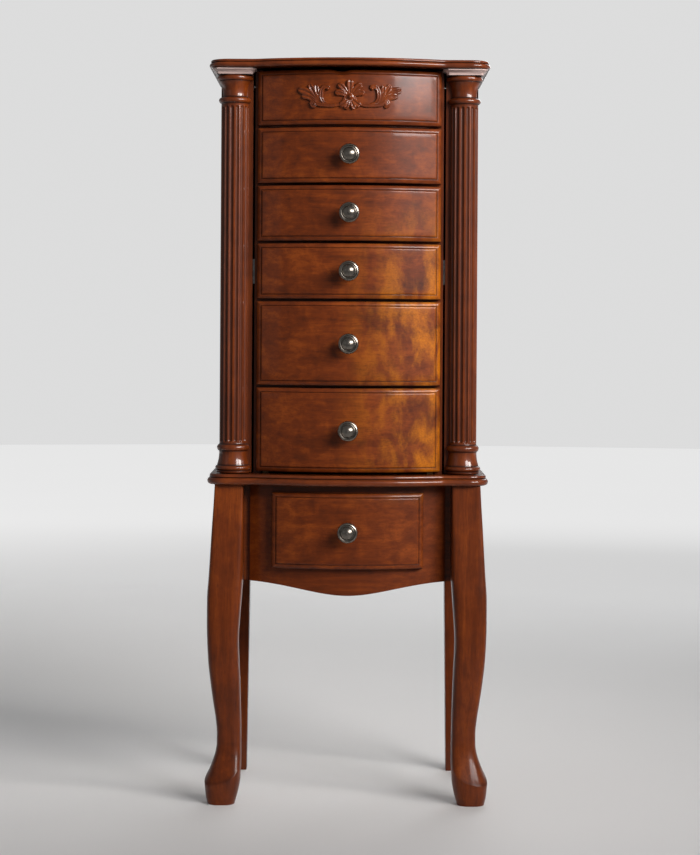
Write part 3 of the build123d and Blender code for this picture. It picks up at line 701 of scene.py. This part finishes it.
# The back of a front: how thin it may get, the full rim round it, and the flat lands at its ends.
THINNEST = 2 * MM
RIM = 8 * MM
END_LAND = 17 * MM

# Drawer boxes: their walls, the top of their floors over their undersides, and the felt's clearance.
BOX_WALL = 8 * MM
BOX_FLOOR = 7 * MM
FELT_CLEARANCE = 0.4 * MM

# The finger notch in the false front: its middle across, width and depth, and how far down it fades.
NOTCH = (-12 * MM, 26 * MM, 2.2 * MM)
NOTCH_FADE = 9 * MM


def across(half, count):
    """Places from one edge to the other: close together in the moulded edge, wide apart between."""
    inner = np.linspace(-half + EDGE_IN[-1], half - EDGE_IN[-1], count)
    return np.concatenate([-half + EDGE_IN[:-1], inner, (half - EDGE_IN[:-1])[::-1]])


def bowed_front(node, radius, notch=None):
    """A front whose face lies on a circle in plan and falls back to its edges in a routed moulding.

    The distance to the nearest edge gives how far each point lies behind the circle. The back follows
    a circle of the front's thickness less, with flat lands at the ends where the box sides meet it.
    """
    low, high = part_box(node)
    half, tall = high.x, high.z - low.z
    axis, level = low.y + radius, (low.z + high.z) / 2
    grid_x, grid_z = np.meshgrid(across(half, 61), across(tall / 2, 13) + level)
    edge = np.minimum(half - np.abs(grid_x), tall / 2 - np.abs(grid_z - level))
    behind = np.interp(edge, EDGE_IN, EDGE_BACK)
    # Painted shade in the routed line and along the outer arris, where the gaps between fronts lie in
    # shade.
    painted_shade = np.interp(edge, EDGE_IN, EDGE_SHADE)
    if notch:
        middle, width, depth = notch
        dip = depth * np.clip(1 - ((grid_x - middle) / (width / 2)) ** 2, 0, 1)
        upper = np.clip((grid_z - (high.z - NOTCH_FADE)) / NOTCH_FADE, 0, 1)
        behind = behind + 1.5 * dip * upper
        grid_z = grid_z - dip * upper
    face_y = axis - np.sqrt(radius**2 - grid_x**2) + behind
    hollow = axis - np.sqrt((radius - bpy.context.scene.armoire_sizes.front_thickness) ** 2 - grid_x**2)
    rear_y = np.maximum(np.minimum(hollow, high.y), face_y + THINNEST)
    rear_y = np.where(edge < RIM, np.maximum(rear_y, hollow), rear_y)
    rear_y = np.minimum(np.where(np.abs(grid_x) > half - END_LAND, high.y, rear_y), high.y)
    front = np.stack([grid_x, face_y, grid_z], -1)
    rear = np.stack([grid_x, rear_y, grid_z], -1)
    return closed_sheet(front, rear), np.concatenate([painted_shade.ravel(), np.zeros(painted_shade.size)])


class ARMOIRE_OT_drawers(bpy.types.Operator):
    """Drawer fronts with their moulded edges, the drawer boxes, knobs and felt floors."""

    bl_idname = "armoire.drawers"
    bl_label = "Drawers"

    def execute(self, context):
        sizes = context.scene.armoire_sizes
        for drawer in [*DRAWERS, "lower_drawer"]:
            radius = sizes.lower_radius if drawer == "lower_drawer" else sizes.front_radius
            shape, painted_shade = bowed_front(f"{drawer}_front", radius)
            replaced = [f"{drawer}_front"]
            make_piece(f"{drawer}_face", shape, drawer, "front", replaced, painted_shade, 50)
            dress("box", f"{drawer}_box")
            dress("pewter", f"{drawer}_knob")
            self.lay_felt(drawer, radius, sizes)
        return {"FINISHED"}

    def lay_felt(self, drawer, radius, sizes):
        """Felt cut to the drawer's floor, its front edge bowed, its surface slightly uneven."""
        low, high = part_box(f"{drawer}_box")
        half = high.x - BOX_WALL - FELT_CLEARANCE
        back = high.y - BOX_WALL - FELT_CLEARANCE
        front_low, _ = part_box(f"{drawer}_front")
        axis = front_low.y + radius
        inner = radius - sizes.front_thickness - 1.5 * MM
        x = np.linspace(-half, half, 49)
        part = np.linspace(0, 1, 37)
        grid_x, grid_part = np.meshgrid(x, part)
        start = axis - np.sqrt(inner**2 - grid_x**2)
        grid_y = start + (back - start) * grid_part
        ripple = 0.12 * MM * (np.sin(grid_x * 90) * np.cos(grid_y * 70) - 1)
        bottom = low.z + BOX_FLOOR
        top = bottom + sizes.felt_thickness + ripple
        upper = np.stack([grid_x, grid_y, top], -1)
        lower = np.stack([grid_x, grid_y, np.full_like(grid_x, bottom)], -1)
        make_piece(f"{drawer}_felt", closed_sheet(upper, lower), drawer, "felt")


class ARMOIRE_OT_false_front(bpy.types.Operator):
    """Fixed front of the tray, with a finger notch in its top edge."""

    bl_idname = "armoire.false_front"
    bl_label = "False front"

    def execute(self, context):
        radius = context.scene.armoire_sizes.front_radius
        shape, painted_shade = bowed_front("false_front", radius, NOTCH)
        make_piece("tray_front", shape, "case", "front", ["false_front"], painted_shade, 50)
        return {"FINISHED"}


# --- Carving ------------------------------------------------------------------


# How far the carving's pieces reach below the face, in millimetres, so that they fuse with it.
SUNK = -1.2

# Leaves of the crown: their lean from upright in degrees, reach and half width.
CROWN = [(0, 23.5, 5.4), (37, 23.5, 5.0), (68, 21, 4.6), (137, 18.5, 4.8), (163, 18, 4.2)]

# The spines of one side, across and up from the middle: the stem, its curl, and the lobes, each with
# its half width.
STEM = [
    (5, 3), (7.5, -4), (13, -9.5), (24, -12), (36, -11.5), (45, -9.5), (50, -5.5), (52.5, -9),
    (49, -13.5), (45.5, -11),
]
CURL = [(27, -11.5), (35, -8), (39, 0), (38.5, 8), (34, 13.5), (29, 13.0), (28.5, 9.5)]
LOBES = [
    ([(36, -10), (41, -2), (45, 7), (46, 16.5)], 4.4),
    ([(37, -10), (44, -1), (51, 9), (55, 17.5)], 4.6),
    ([(38, -10.5), (48, -2), (59, 7), (71, 10.5)], 5.6),
    ([(39, -11), (48, -5), (57, 0.5), (66, 1.5)], 4.8),
]


def spine(points, count):
    """A smooth line through a few points, evenly read, and its unit normals."""
    points = np.asarray(points, float)
    run = np.concatenate([[0], np.cumsum(np.linalg.norm(np.diff(points, axis=0), axis=1))])
    at = np.linspace(0, run[-1], count)
    line = np.stack([curve_through(run, points[:, 0], at), curve_through(run, points[:, 1], at)], -1)
    along = np.gradient(line, axis=0)
    along /= np.linalg.norm(along, axis=1)[:, None]
    return line, np.stack([-along[:, 1], along[:, 0]], -1)


def leaf(points, width, height, tip=0.25, root=0.5, channel=0.4, lift=0.0):
    """A carved leaf along a spine: a half-round section with a channel down its middle.

    Its half width swells from the root to three quarters of the way and closes round the tip, and
    its height rises towards the tip by lift before it rolls over. All sizes are in millimetres.
    """
    line, normal = spine(points, 34)
    t = np.linspace(0, 1, len(line))
    swell = root + (1 - root) * np.sin(np.pi / 2 * np.clip(t / 0.75, 0, 1)) ** 1.3
    close = np.sqrt(np.clip(1 - ((t - 1 + tip) / tip).clip(0) ** 2, 0, 1))
    half = width * swell * close + 0.02
    crown = 0.6 + 0.4 * np.sin(np.pi / 2 * np.clip(t / 0.6, 0, 1))
    rise = height * crown * (0.25 + 0.75 * close) + lift * t
    turn = np.linspace(0, np.pi, 13)
    w = -np.cos(turn)
    section = np.sin(turn) ** 0.75 * (1 - channel * np.exp(-((w / 0.32) ** 2)))
    across_top = line[:, None, :] + normal[:, None, :] * (w[None, :, None] * half[:, None, None])
    top = np.concatenate([across_top, (rise[:, None] * section[None, :])[..., None]], -1)
    under = across_top[:, ::-1][:, 1:-1]
    bottom = np.concatenate([under, np.full(under.shape[:2] + (1,), SUNK)], -1)
    ends = top.copy()
    ends[:, [0, -1], 2] = SUNK
    return closed_rings(np.concatenate([ends, bottom], 1))


def bud(x, z, radius, height):
    """A domed button, a little pinched at its foot."""
    turn = np.linspace(0, 2 * np.pi, 24, endpoint=False)
    rise = np.linspace(0, np.pi / 2, 9)
    radii = np.concatenate([[radius * 0.95], radius * np.cos(rise[:-1])])
    heights = np.concatenate([[SUNK], height * np.sin(rise[:-1])])
    rings = np.stack(
        [
            x + radii[:, None] * np.cos(turn),
            z + radii[:, None] * np.sin(turn),
            np.repeat(heights[:, None], len(turn), 1),
        ],
        -1,
    )
    points, faces = closed_rings(rings)
    points[-1, 2] = height
    return points, faces


def carving():
    """The leaves, scrolls and buds of the applique in millimetres: across, up and off the face."""
    parts = [bud(0, 0, 6.2, 3.6), bud(0, 0, 3.6, 6.0)]
    for lean, reach, width in CROWN:
        for sign in (1, -1) if lean else (1,):
            bend = np.radians(lean)
            out = np.array([np.sin(bend), np.cos(bend)])
            side = np.array([np.cos(bend), -np.sin(bend)]) * (1.6 if lean < 90 else -1.2) * (lean > 0)
            points = [out * 3, out * reach * 0.5, out * reach * 0.8 + side * 0.5]
            points.append(out * reach + side * 1.6)
            points = [(sign * x, z) for x, z in points]
            parts.append(leaf(points, width, 3.6, root=0.35, tip=0.2, channel=0.45, lift=1.4))
    for sign in (1, -1):
        parts.append(leaf([(sign * x, z) for x, z in STEM], 3.0, 4.0, tip=0.1, root=0.8, channel=0.25))
        parts.append(bud(sign * 48.2, -10.2, 2.5, 4.4))
        parts.append(leaf([(sign * x, z) for x, z in CURL], 3.5, 4.4, tip=0.12, root=0.7, channel=0.35))
        parts.append(bud(sign * 29.8, 10.8, 2.3, 4.4))
        for lobe, width in LOBES:
            side = [(sign * x, z) for x, z in lobe]
            parts.append(leaf(side, width, 3.4, tip=0.17, root=0.38, channel=0.45, lift=1.4))
    return joined(parts)


class ARMOIRE_OT_applique(bpy.types.Operator):
    """Carved acanthus applique, wrapped on the bowed false front."""

    bl_idname = "armoire.applique"
    bl_label = "Applique"

    def execute(self, context):
        sizes = context.scene.armoire_sizes
        low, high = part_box("false_front")
        axis, level = low.y + sizes.front_radius, (low.z + high.z) / 2
        points, faces = carving()
        points = points * MM
        turn = points[:, 0] / sizes.front_radius
        reach = sizes.front_radius + points[:, 2]
        face_y = axis - reach * np.cos(turn)
        placed = np.column_stack([reach * np.sin(turn), face_y, level + points[:, 1]])
        rough = bpy.data.meshes.new("rough_carving")
        rough.from_pydata(placed.tolist(), [], faces)
        block = bpy.data.objects.new("rough_carving", rough)
        context.scene.collection.objects.link(block)
        fused = block.modifiers.new("Fused", "REMESH")
        fused.mode = "VOXEL"
        fused.voxel_size = 0.42 * MM
        softened = block.modifiers.new("Softened", "SMOOTH")
        softened.factor, softened.iterations = 0.5, 2
        shown = block.evaluated_get(context.evaluated_depsgraph_get())
        mesh = bpy.data.meshes.new_from_object(shown)
        mesh.name = "carved_applique"
        bpy.data.objects.remove(block)
        spots = np.zeros(len(mesh.vertices) * 3, np.float32)
        mesh.vertices.foreach_get("co", spots)
        spots = spots.reshape(-1, 3)
        off_face = np.hypot(spots[:, 0], spots[:, 1] - axis) - sizes.front_radius
        # Painted shade in the crevices where the carving meets the face.
        painted_shade = 0.85 * np.clip(1 - off_face / (1.8 * MM), 0, 1)
        mesh.attributes.new("painted_shade", "FLOAT", "POINT").data.foreach_set("value", painted_shade.astype(np.float32))
        show_mesh("carved_applique", mesh, "case", "turned", ["applique"], 60)
        return {"FINISHED"}


# --- Columns ------------------------------------------------------------------


def turned_ring(radius, centre, flat, flutes=None):
    """One ring of a column: a circle with the quarter cut away where the door's corner stands."""
    over = np.arccos(np.clip(flat / radius, -1, 1))
    turn = np.linspace(-np.pi, over, 161)
    depth = flutes(turn) if flutes else 0.0
    round_x = centre[0] + (radius - depth) * np.cos(turn)
    round_y = centre[1] + (radius - depth) * np.sin(turn)
    corner = [(centre[0] + flat, centre[1]), (centre[0], centre[1])]
    plan = np.column_stack([round_x, round_y])
    return np.concatenate([plan, corner])


def fluting(sizes, level, low, high, shaft):
    """Depth of the flutes at an angle: round-bottomed channels with round ends."""
    half, deep = sizes.flute_width / 2, sizes.flute_depth
    ball = (half**2 + deep**2) / (2 * deep)
    beyond = max(low + half - level, level - (high - half), 0)
    pitch = 2 * np.pi / sizes.flutes

    def depth(turn):
        off = ((turn / pitch) % 1 - 0.5) * pitch * shaft
        reach = np.clip(half**2 - off**2 - beyond**2, 0, None)
        return np.sqrt(np.clip(ball**2 - half**2 + reach, 0, None)) - (ball - deep)

    return depth


# Turned outline of a column's foot and of its head: height, radius and painted shade in the quirks.
# Millimetres.
FOOT = [
    (0, 22.5, 0.5), (1.2, 23.2, 0.2), (3.0, 23.2, 0.7), (3.3, 22.4, 1.0), (4.0, 23.4, 0.3),
    (5.2, 24.4, 0.0), (6.6, 24.7, 0.0), (8.0, 24.4, 0.0), (9.4, 23.4, 0.2), (10.0, 22.2, 1.0),
    (10.8, 21.9, 0.8), (12.5, 21.6, 0.1), (15.0, 20.9, 0.0), (18.0, 20.2, 0.0), (21.5, 19.7, 0.0),
    (25.0, 19.5, 0.0), (28.0, 19.5, 0.1), (29.6, 19.6, 0.7), (30.0, 20.4, 1.0), (31.0, 21.4, 0.3),
    (32.4, 22.2, 0.0), (34.2, 22.5, 0.0), (36.0, 22.2, 0.0), (37.6, 21.2, 0.1), (38.6, 20.0, 0.6),
    (39.0, 19.4, 1.0), (40.0, 19.0, 0.5),
]
HEAD = [
    (0, 19.0, 0.4), (0.6, 19.3, 1.0), (1.2, 20.6, 0.5), (2.6, 21.9, 0.0), (4.6, 22.5, 0.0),
    (6.4, 22.0, 0.0), (7.9, 20.8, 0.2), (8.6, 19.2, 0.9), (9.2, 17.9, 1.0), (11.0, 17.4, 0.2),
    (15.0, 17.4, 0.0), (19.0, 17.8, 0.0), (23.0, 18.7, 0.0), (26.5, 20.0, 0.0), (29.4, 21.6, 0.1),
    (30.6, 22.4, 0.5), (31.2, 22.2, 1.0), (31.7, 23.2, 0.5), (32.8, 24.4, 0.0), (34.6, 25.0, 0.0),
    (36.4, 24.8, 0.0), (38.0, 23.8, 0.2), (38.7, 22.9, 0.8), (39.0, 22.4, 1.0),
]
SHAFT = 19 * MM
HEAD_HEIGHT = 39 * MM
FLUTE_START = 42 * MM
FLUTE_STOP = 3 * MM
CAP_FOOT = 24.4 * MM


def column_profile(low, high):
    """The turned outline from the door's foot up: height, radius and painted shade, in metres."""
    bell = high - HEAD_HEIGHT
    low_end, high_end = low + FLUTE_START, bell - FLUTE_STOP
    steps = np.concatenate([[0], np.linspace(0.5, 6, 12), [20, 60]]) * MM
    middle = np.linspace(low_end + 0.1, high_end - 0.1, 12)
    shaft = np.concatenate([low_end + steps, middle, high_end - steps[::-1]])
    rows = [(low + h * MM, r * MM, dark) for h, r, dark in FOOT]
    rows += [(level, SHAFT, 0.0) for level in shaft]
    rows += [(bell + h * MM, r * MM, dark) for h, r, dark in HEAD]
    return rows, low_end, high_end


class ARMOIRE_OT_columns(bpy.types.Operator):
    """Fluted columns with turned capitals and bases, and the cove caps over them."""

    bl_idname = "armoire.columns"
    bl_label = "Columns"

    def execute(self, context):
        sizes = context.scene.armoire_sizes
        for side, sign in SIDES.items():
            low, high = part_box("column_right")
            _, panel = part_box("door_panel_right")
            stile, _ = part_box("door_stile_right")
            middle = (low.x + high.x) / 2
            centre = np.array([middle, stile.y])
            flat = panel.x - middle
            rows, flute_low, flute_high = column_profile(low.z, high.z)
            rings, painted_shade = [], []
            for level, radius, dark in rows:
                fluted = flute_low <= level <= flute_high
                flutes = fluting(sizes, level, flute_low, flute_high, radius) if fluted else None
                plan = turned_ring(radius, centre, flat, flutes)
                rings.append(np.column_stack([plan[:, 0] * sign, plan[:, 1], np.full(len(plan), level)]))
                away = radius - np.hypot(plan[:-2, 0] - centre[0], plan[:-2, 1] - centre[1])
                # Painted shade in the flutes, deepest at their bottoms, added to the painted shade of the
                # turned quirks.
                shade = dark + 0.5 * np.clip(away / sizes.flute_depth, 0, 1) ** 1.5
                painted_shade.append(np.concatenate([np.clip(shade, 0, 1), [0, 0]]))
            shape, dark = shaded_rings(rings, painted_shade)
            name, door, replaced = f"fluted_column_{side}", f"{side}_door", [f"column_{side}"]
            make_piece(name, shape, door, "turned", replaced, dark, 40)
            self.cap(side, sign, centre, flat)
        return {"FINISHED"}

    def cap(self, side, sign, centre, flat):
        """A square cap whose sides hollow outwards to the lid, its two outer corners cut off."""
        low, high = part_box("column_cap_right")
        rings, painted_shade = [], []
        rise = np.linspace(0, 1, 9)
        half_low, half_high = CAP_FOOT, centre[1] - low.y
        cove = [(0.12 + 0.70 * t, 1 - np.cos(t * np.pi / 2), 0.0) for t in rise]
        # Painted shade at the cap's foot, where it sits on the capital.
        levels = [(0, 0, 0.8), *cove, (1.0, 1.0, 0.0)]
        for level, out, dark in levels:
            half = half_low + (half_high - half_low) * out
            right = min(half, high.x - centre[0])
            cut = 2.5 * MM + 4 * MM * out
            plan = centre + [
                (-half, 0), (-half, -half + cut), (-half + cut, -half), (right - cut, -half),
                (right, -half + cut), (right, half * 0.9), (flat, half * 0.9), (flat, 0),
            ]
            rings.append([(x * sign, y, low.z + (high.z - low.z) * level) for x, y in plan])
            painted_shade.append(np.full(len(plan), dark))
        shape, dark = shaded_rings(rings, painted_shade)
        replaced = [f"column_cap_{side}"]
        make_piece(f"cove_cap_{side}", shape, f"{side}_door", "cap", replaced, dark, 30)


# --- Legs ---------------------------------------------------------------------

# Cabriole leg: height, how far the outer and inner edges lie from those of the top post, and how square
# the section is (2 is round, a large number a square with crisp edges). Millimetres.
LEG = [
    (0, 7.5, 9.5, 2.5), (10, 10.0, 5.0, 2.5), (22, 11.3, 1.9, 2.5), (29, 12.0, 1.5, 2.6),
    (33, 10.2, 1.3, 2.6), (41, 6.6, 1.2, 2.8), (50, 3.2, 1.2, 2.9), (60, -0.2, 1.3, 3.0),
    (70, -2.8, 1.4, 3.0), (80, -4.1, 1.5, 3.1), (96, -4.2, 1.6, 3.2), (114, -2.6, 1.8, 3.3),
    (140, 1.2, 2.4, 3.4), (168, 4.9, 3.2, 3.6), (195, 7.7, 4.4, 3.8), (222, 9.1, 5.3, 4.0),
    (250, 9.7, 4.0, 4.4), (280, 9.6, 1.8, 5.0), (311, 7.6, 0.2, 6.0), (350, 5.2, 0.0, 8.0),
    (380, 3.4, 0.0, 10.0), (406, 1.6, 0.0, 14.0), (436, 0.0, 0.0, 18.0),
]

# The rolled toe: its crest in front, how much higher it is behind, the most it may rise, and where the
# slope behind it has run out into the leg.
TOE_CREST = 29 * MM
TOE_RISE = 15 * MM
TOE_HIGHEST = 46 * MM
TOE_TOP = 96 * MM


class ARMOIRE_OT_legs(bpy.types.Operator):
    """Cabriole front legs, and the finish of the back legs and aprons."""

    bl_idname = "armoire.legs"
    bl_label = "Legs"

    def execute(self, context):
        table = np.array(LEG) * np.array([MM, MM, MM, 1])
        sides_low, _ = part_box("apron_sides")
        back_low, back_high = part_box("back_leg_right")
        size = back_high.x - back_low.x
        inner_x, rear_y = back_low.x, sides_low.y
        nominal = np.concatenate([
            np.linspace(0, TOE_CREST, 8), [TOE_CREST + 0.4 * MM],
            np.linspace(TOE_CREST + 2 * MM, TOE_TOP, 18),
            np.linspace(TOE_TOP + 8 * MM, table[-1, 0], 44),
        ])
        outer = curve_through(table[:, 0], table[:, 1], nominal)
        inner = curve_through(table[:, 0], table[:, 2], nominal)
        square = curve_through(table[:, 0], table[:, 3], nominal)
        turn = np.linspace(0, 2 * np.pi, 96, endpoint=False)
        from_toe = turn + np.pi / 4
        crest = TOE_CREST - 2 * MM + TOE_RISE * (1 - np.cos(from_toe)).clip(0) ** 1.3
        crest = np.minimum(crest, TOE_HIGHEST)
        rings, painted_shade = [], []
        for level, out, inn, power in zip(nominal, outer, inner, square):
            half = (size + out - inn) / 2
            middle = (inner_x + inn + half, rear_y - inn - half)
            cos, sin = np.cos(turn), np.sin(turn)
            x = middle[0] + half * np.sign(cos) * np.abs(cos) ** (2 / power)
            y = middle[1] + half * np.sign(sin) * np.abs(sin) ** (2 / power)
            if level <= TOE_CREST:
                z = level / TOE_CREST * crest
            elif level < TOE_TOP:
                z = crest + (level - TOE_CREST) / (TOE_TOP - TOE_CREST) * (TOE_TOP - crest)
            else:
                z = np.full_like(turn, level)
            rings.append(np.stack([x, y, z], -1))
            # Painted shade in a line along the crease above the toe's crest, strongest in front.
            line = np.exp(-((level - TOE_CREST - 2.5 * MM) / (2.5 * MM)) ** 2)
            painted_shade.append(0.45 * line * np.clip(np.cos(from_toe) + 0.2, 0, 1))
        for side, sign in SIDES.items():
            shape, dark = shaded_rings(np.array(rings) * np.array([sign, 1, 1]), painted_shade)
            replaced = [f"front_leg_{side}"]
            make_piece(f"cabriole_leg_{side}", shape, "case", "leg", replaced, dark, 38)
        dress("wood_z", "back_leg_left", "back_leg_right")
        dress("wood_x", "apron_front", "apron_back")
        dress("wood_y", "apron_sides")
        dress("box", "corner_blocks", "lower_drawer_runners")
        dress("steel", "block_screws")
        return {"FINISHED"}


# --- Case, doors and tray -----------------------------------------------------


class ARMOIRE_OT_case(bpy.types.Operator):
    """Finishes of the case, its doors, hinges, hooks and catches."""

    bl_idname = "armoire.case"
    bl_label = "Case and doors"

    def execute(self, context):
        dress("wood_z", "case_side_left", "case_side_right", "case_back")
        dress("wood_z", "door_panel_left", "door_panel_right", "door_stile_left", "door_stile_right")
        dress("wood_x", "dust_boards", "tray_floor")
        dress("brass", "hinge_pins", "lid_hinge_case_leaves", "lid_hinge_leaves")
        dress("brass", "door_hinge_case_leaves", "door_hinge_leaves_left", "door_hinge_leaves_right")
        dress("brass", "necklace_hooks_left", "necklace_hooks_right")
        dress("steel", "door_magnets")
        return {"FINISHED"}


# How much slimmer the ring rolls start, and the most that their covers then swell.
SWELL = 0.35 * MM
ROLL_GAP = 0.8 * MM


class ARMOIRE_OT_tray(bpy.types.Operator):
    """The tray's felt, dividers and padded ring rolls."""

    bl_idname = "armoire.tray"
    bl_label = "Tray"

    def execute(self, context):
        dress("felt", "tray_lining", "tray_dividers")
        low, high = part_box("ring_rolls")
        radius = (high.z - low.z) / 2
        count = round((high.y - low.y) / (2 * radius + ROLL_GAP))
        pitch = ((high.y - low.y) - 2 * radius) / (count - 1)
        rolls = [self.roll(low, high, low.y + radius + i * pitch, radius) for i in range(count)]
        points, faces = joined(rolls)
        mesh = bpy.data.meshes.new("padded_rolls")
        mesh.from_pydata(points.tolist(), [], faces)
        mesh = self.swollen(context, mesh, SWELL)
        piece = show_mesh("padded_rolls", mesh, "case", "felt", ["ring_rolls"], 70)
        rounded = piece.modifiers.new("Rounded", "SUBSURF")
        rounded.levels = rounded.render_levels = 1
        return {"FINISHED"}

    def roll(self, low, high, y, radius):
        """A foam roll in felt: its ends pull in, its underside lies flat, its top waves a little."""
        along = np.linspace(0, 1, 61)
        end = np.minimum(along, 1 - along) * (high.x - low.x)
        thick = (radius - SWELL) * (1 - 0.35 * np.exp(-end / (2.2 * MM)))
        thick = thick * (1 + 0.012 * np.sin(along * 41 + y * 900))
        turn = np.linspace(0, 2 * np.pi, 28, endpoint=False)
        x = low.x + along * (high.x - low.x)
        middle = low.z + radius
        ring_y = y + thick[:, None] * np.cos(turn)
        ring_z = np.maximum(middle + thick[:, None] * np.sin(turn), low.z + SWELL)
        return closed_rings(np.stack([np.repeat(x[:, None], len(turn), 1), ring_y, ring_z], -1))

    def swollen(self, context, mesh, cap):
        """The rolls' covers blown up by cloth simulation, no point moved further than cap."""
        start = np.zeros(len(mesh.vertices) * 3)
        mesh.vertices.foreach_get("co", start)
        cover = bpy.data.objects.new("cover", mesh)
        context.scene.collection.objects.link(cover)
        cloth = cover.modifiers.new("Cloth", "CLOTH")
        cloth.settings.use_pressure = True
        cloth.settings.uniform_pressure_force = 4
        cloth.settings.effector_weights.gravity = 0
        for step in range(1, 21):
            context.scene.frame_set(step)
        shown = cover.evaluated_get(context.evaluated_depsgraph_get())
        blown = bpy.data.meshes.new_from_object(shown)
        context.scene.frame_set(1)
        bpy.data.objects.remove(cover)
        ended = np.zeros_like(start)
        blown.vertices.foreach_get("co", ended)
        shift = (ended - start).reshape(-1, 3)
        far = np.linalg.norm(shift, axis=1)[:, None]
        shift *= np.minimum(1, cap / np.maximum(far, 1e-9))
        blown.vertices.foreach_set("co", (start.reshape(-1, 3) + shift).ravel())
        return blown


# --- Studio -------------------------------------------------------------------


# The camera: where it stands, its focal length in millimetres, its shift and its roll in degrees.
EYE = (0.002, -3.145, 0.6547)
LENS = 93.7
LENS_SHIFT = -0.12
CAMERA_ROLL = -0.34

# Strength of the even light, and of the backdrop that the camera sees.
AROUND = 0.22
BACKDROP = 0.72


class ARMOIRE_OT_studio(bpy.types.Operator):
    """Pale floor, soft lights and the camera in front of the armoire."""

    bl_idname = "armoire.studio"
    bl_label = "Studio"

    def execute(self, context):
        scene = context.scene
        mesh = bpy.data.meshes.new("studio_floor")
        turn = np.linspace(0, 2 * np.pi, 64, endpoint=False)
        rings = [np.stack([r * np.cos(turn), r * np.sin(turn), np.zeros(64)], -1) for r in (0.5, 2, 5, 9)]
        points = np.concatenate([*rings, [[0, 0, 0]]])
        faces = loop_faces(4, 64).tolist() + [[256, (j + 1) % 64, j] for j in range(64)]
        mesh.from_pydata(points.tolist(), [], faces)
        mesh.materials.append(finish_named("floor"))
        floor = bpy.data.objects.new("studio_floor", mesh)
        scene.collection.objects.link(floor)
        scene.world = self.surroundings()
        scene.view_settings.view_transform = "Standard"
        middle, upper = Vector((0, 0, 0.55)), Vector((0, 0, 0.96))
        self.light("Key", (2.5, -1.7, 1.9), upper, 1.0, 8, (1.0, 0.95, 0.91), 45)
        self.light("Window", (1.75, -2.5, 1.85), upper, 1.2, 13, (1, 0.96, 0.95), 60)
        self.light("Fill", (-2.4, -2.0, 1.2), middle, 1.4, 1.5, (0.93, 0.96, 1.0))
        self.light("Back", (0.6, 2.2, 1.9), middle, 1.6, 24, (1, 1, 1))
        camera = bpy.data.cameras.new("Camera")
        camera.sensor_width = 36
        camera.lens = LENS
        camera.shift_y = LENS_SHIFT
        camera.dof.use_dof = False
        camera.clip_end = 50
        holder = bpy.data.objects.new("Camera", camera)
        holder.location = EYE
        holder.rotation_euler = (np.pi / 2, np.radians(CAMERA_ROLL), 0)
        scene.collection.objects.link(holder)
        scene.camera = holder
        return {"FINISHED"}

    def surroundings(self):
        """Even light from all round, which the camera sees paler than the armoire does."""
        world = bpy.data.worlds.new("Studio")
        world.use_nodes = True
        nodes, links = world.node_tree.nodes, world.node_tree.links
        soft = nodes["Background"]
        seen = nodes.new("ShaderNodeBackground")
        choice = nodes.new("ShaderNodeMixShader")
        for shader, strength in ((soft, AROUND), (seen, BACKDROP)):
            shader.inputs["Color"].default_value = (1, 1, 1, 1)
            shader.inputs["Strength"].default_value = strength
        links.new(nodes.new("ShaderNodeLightPath").outputs["Is Camera Ray"], choice.inputs[0])
        links.new(soft.outputs[0], choice.inputs[1])
        links.new(seen.outputs[0], choice.inputs[2])
        links.new(choice.outputs[0], nodes["World Output"].inputs["Surface"])
        return world

    def light(self, name, place, target, size, power, tint, spread=180):
        """A square soft box that looks at a point."""
        lamp = bpy.data.lights.new(name, "AREA")
        lamp.shape = "SQUARE"
        lamp.size, lamp.energy, lamp.color = size, power, tint
        lamp.spread = np.radians(spread)
        holder = bpy.data.objects.new(name, lamp)
        holder.location = place
        holder.rotation_euler = (target - Vector(place)).to_track_quat("-Z", "Y").to_euler()
        bpy.context.scene.collection.objects.link(holder)


# --- Panel and run ------------------------------------------------------------

PIECES = [
    ARMOIRE_OT_lid, ARMOIRE_OT_waist, ARMOIRE_OT_drawers, ARMOIRE_OT_false_front, ARMOIRE_OT_applique,
    ARMOIRE_OT_columns, ARMOIRE_OT_legs, ARMOIRE_OT_case, ARMOIRE_OT_tray, ARMOIRE_OT_studio,
]


class ARMOIRE_PT_panel(bpy.types.Panel):
    """Lists the armoire's sizes, colours and pieces."""

    bl_idname = "ARMOIRE_PT_panel"
    bl_label = "Jewelry armoire"
    bl_space_type = "VIEW_3D"
    bl_region_type = "UI"
    bl_category = "Armoire"

    def draw(self, context):
        for group in (context.scene.armoire_sizes, context.scene.armoire_colours):
            for name in type(group).__annotations__:
                self.layout.prop(group, name)
        for piece in PIECES:
            self.layout.operator(piece.bl_idname)


CLASSES = [ArmoireSizes, ArmoireColours, *PIECES, ARMOIRE_PT_panel]


def register():
    for kind in CLASSES:
        bpy.utils.register_class(kind)
    bpy.types.Scene.armoire_sizes = bpy.props.PointerProperty(type=ArmoireSizes)
    bpy.types.Scene.armoire_colours = bpy.props.PointerProperty(type=ArmoireColours)


def unregister():
    del bpy.types.Scene.armoire_colours
    del bpy.types.Scene.armoire_sizes
    for kind in reversed(CLASSES):
        bpy.utils.unregister_class(kind)


def main():
    """Build the armoire and the studio."""
    register()
    for piece in PIECES:
        group, name = piece.bl_idname.split(".")
        getattr(getattr(bpy.ops, group), name)()


if __name__ == "__main__":
    main()
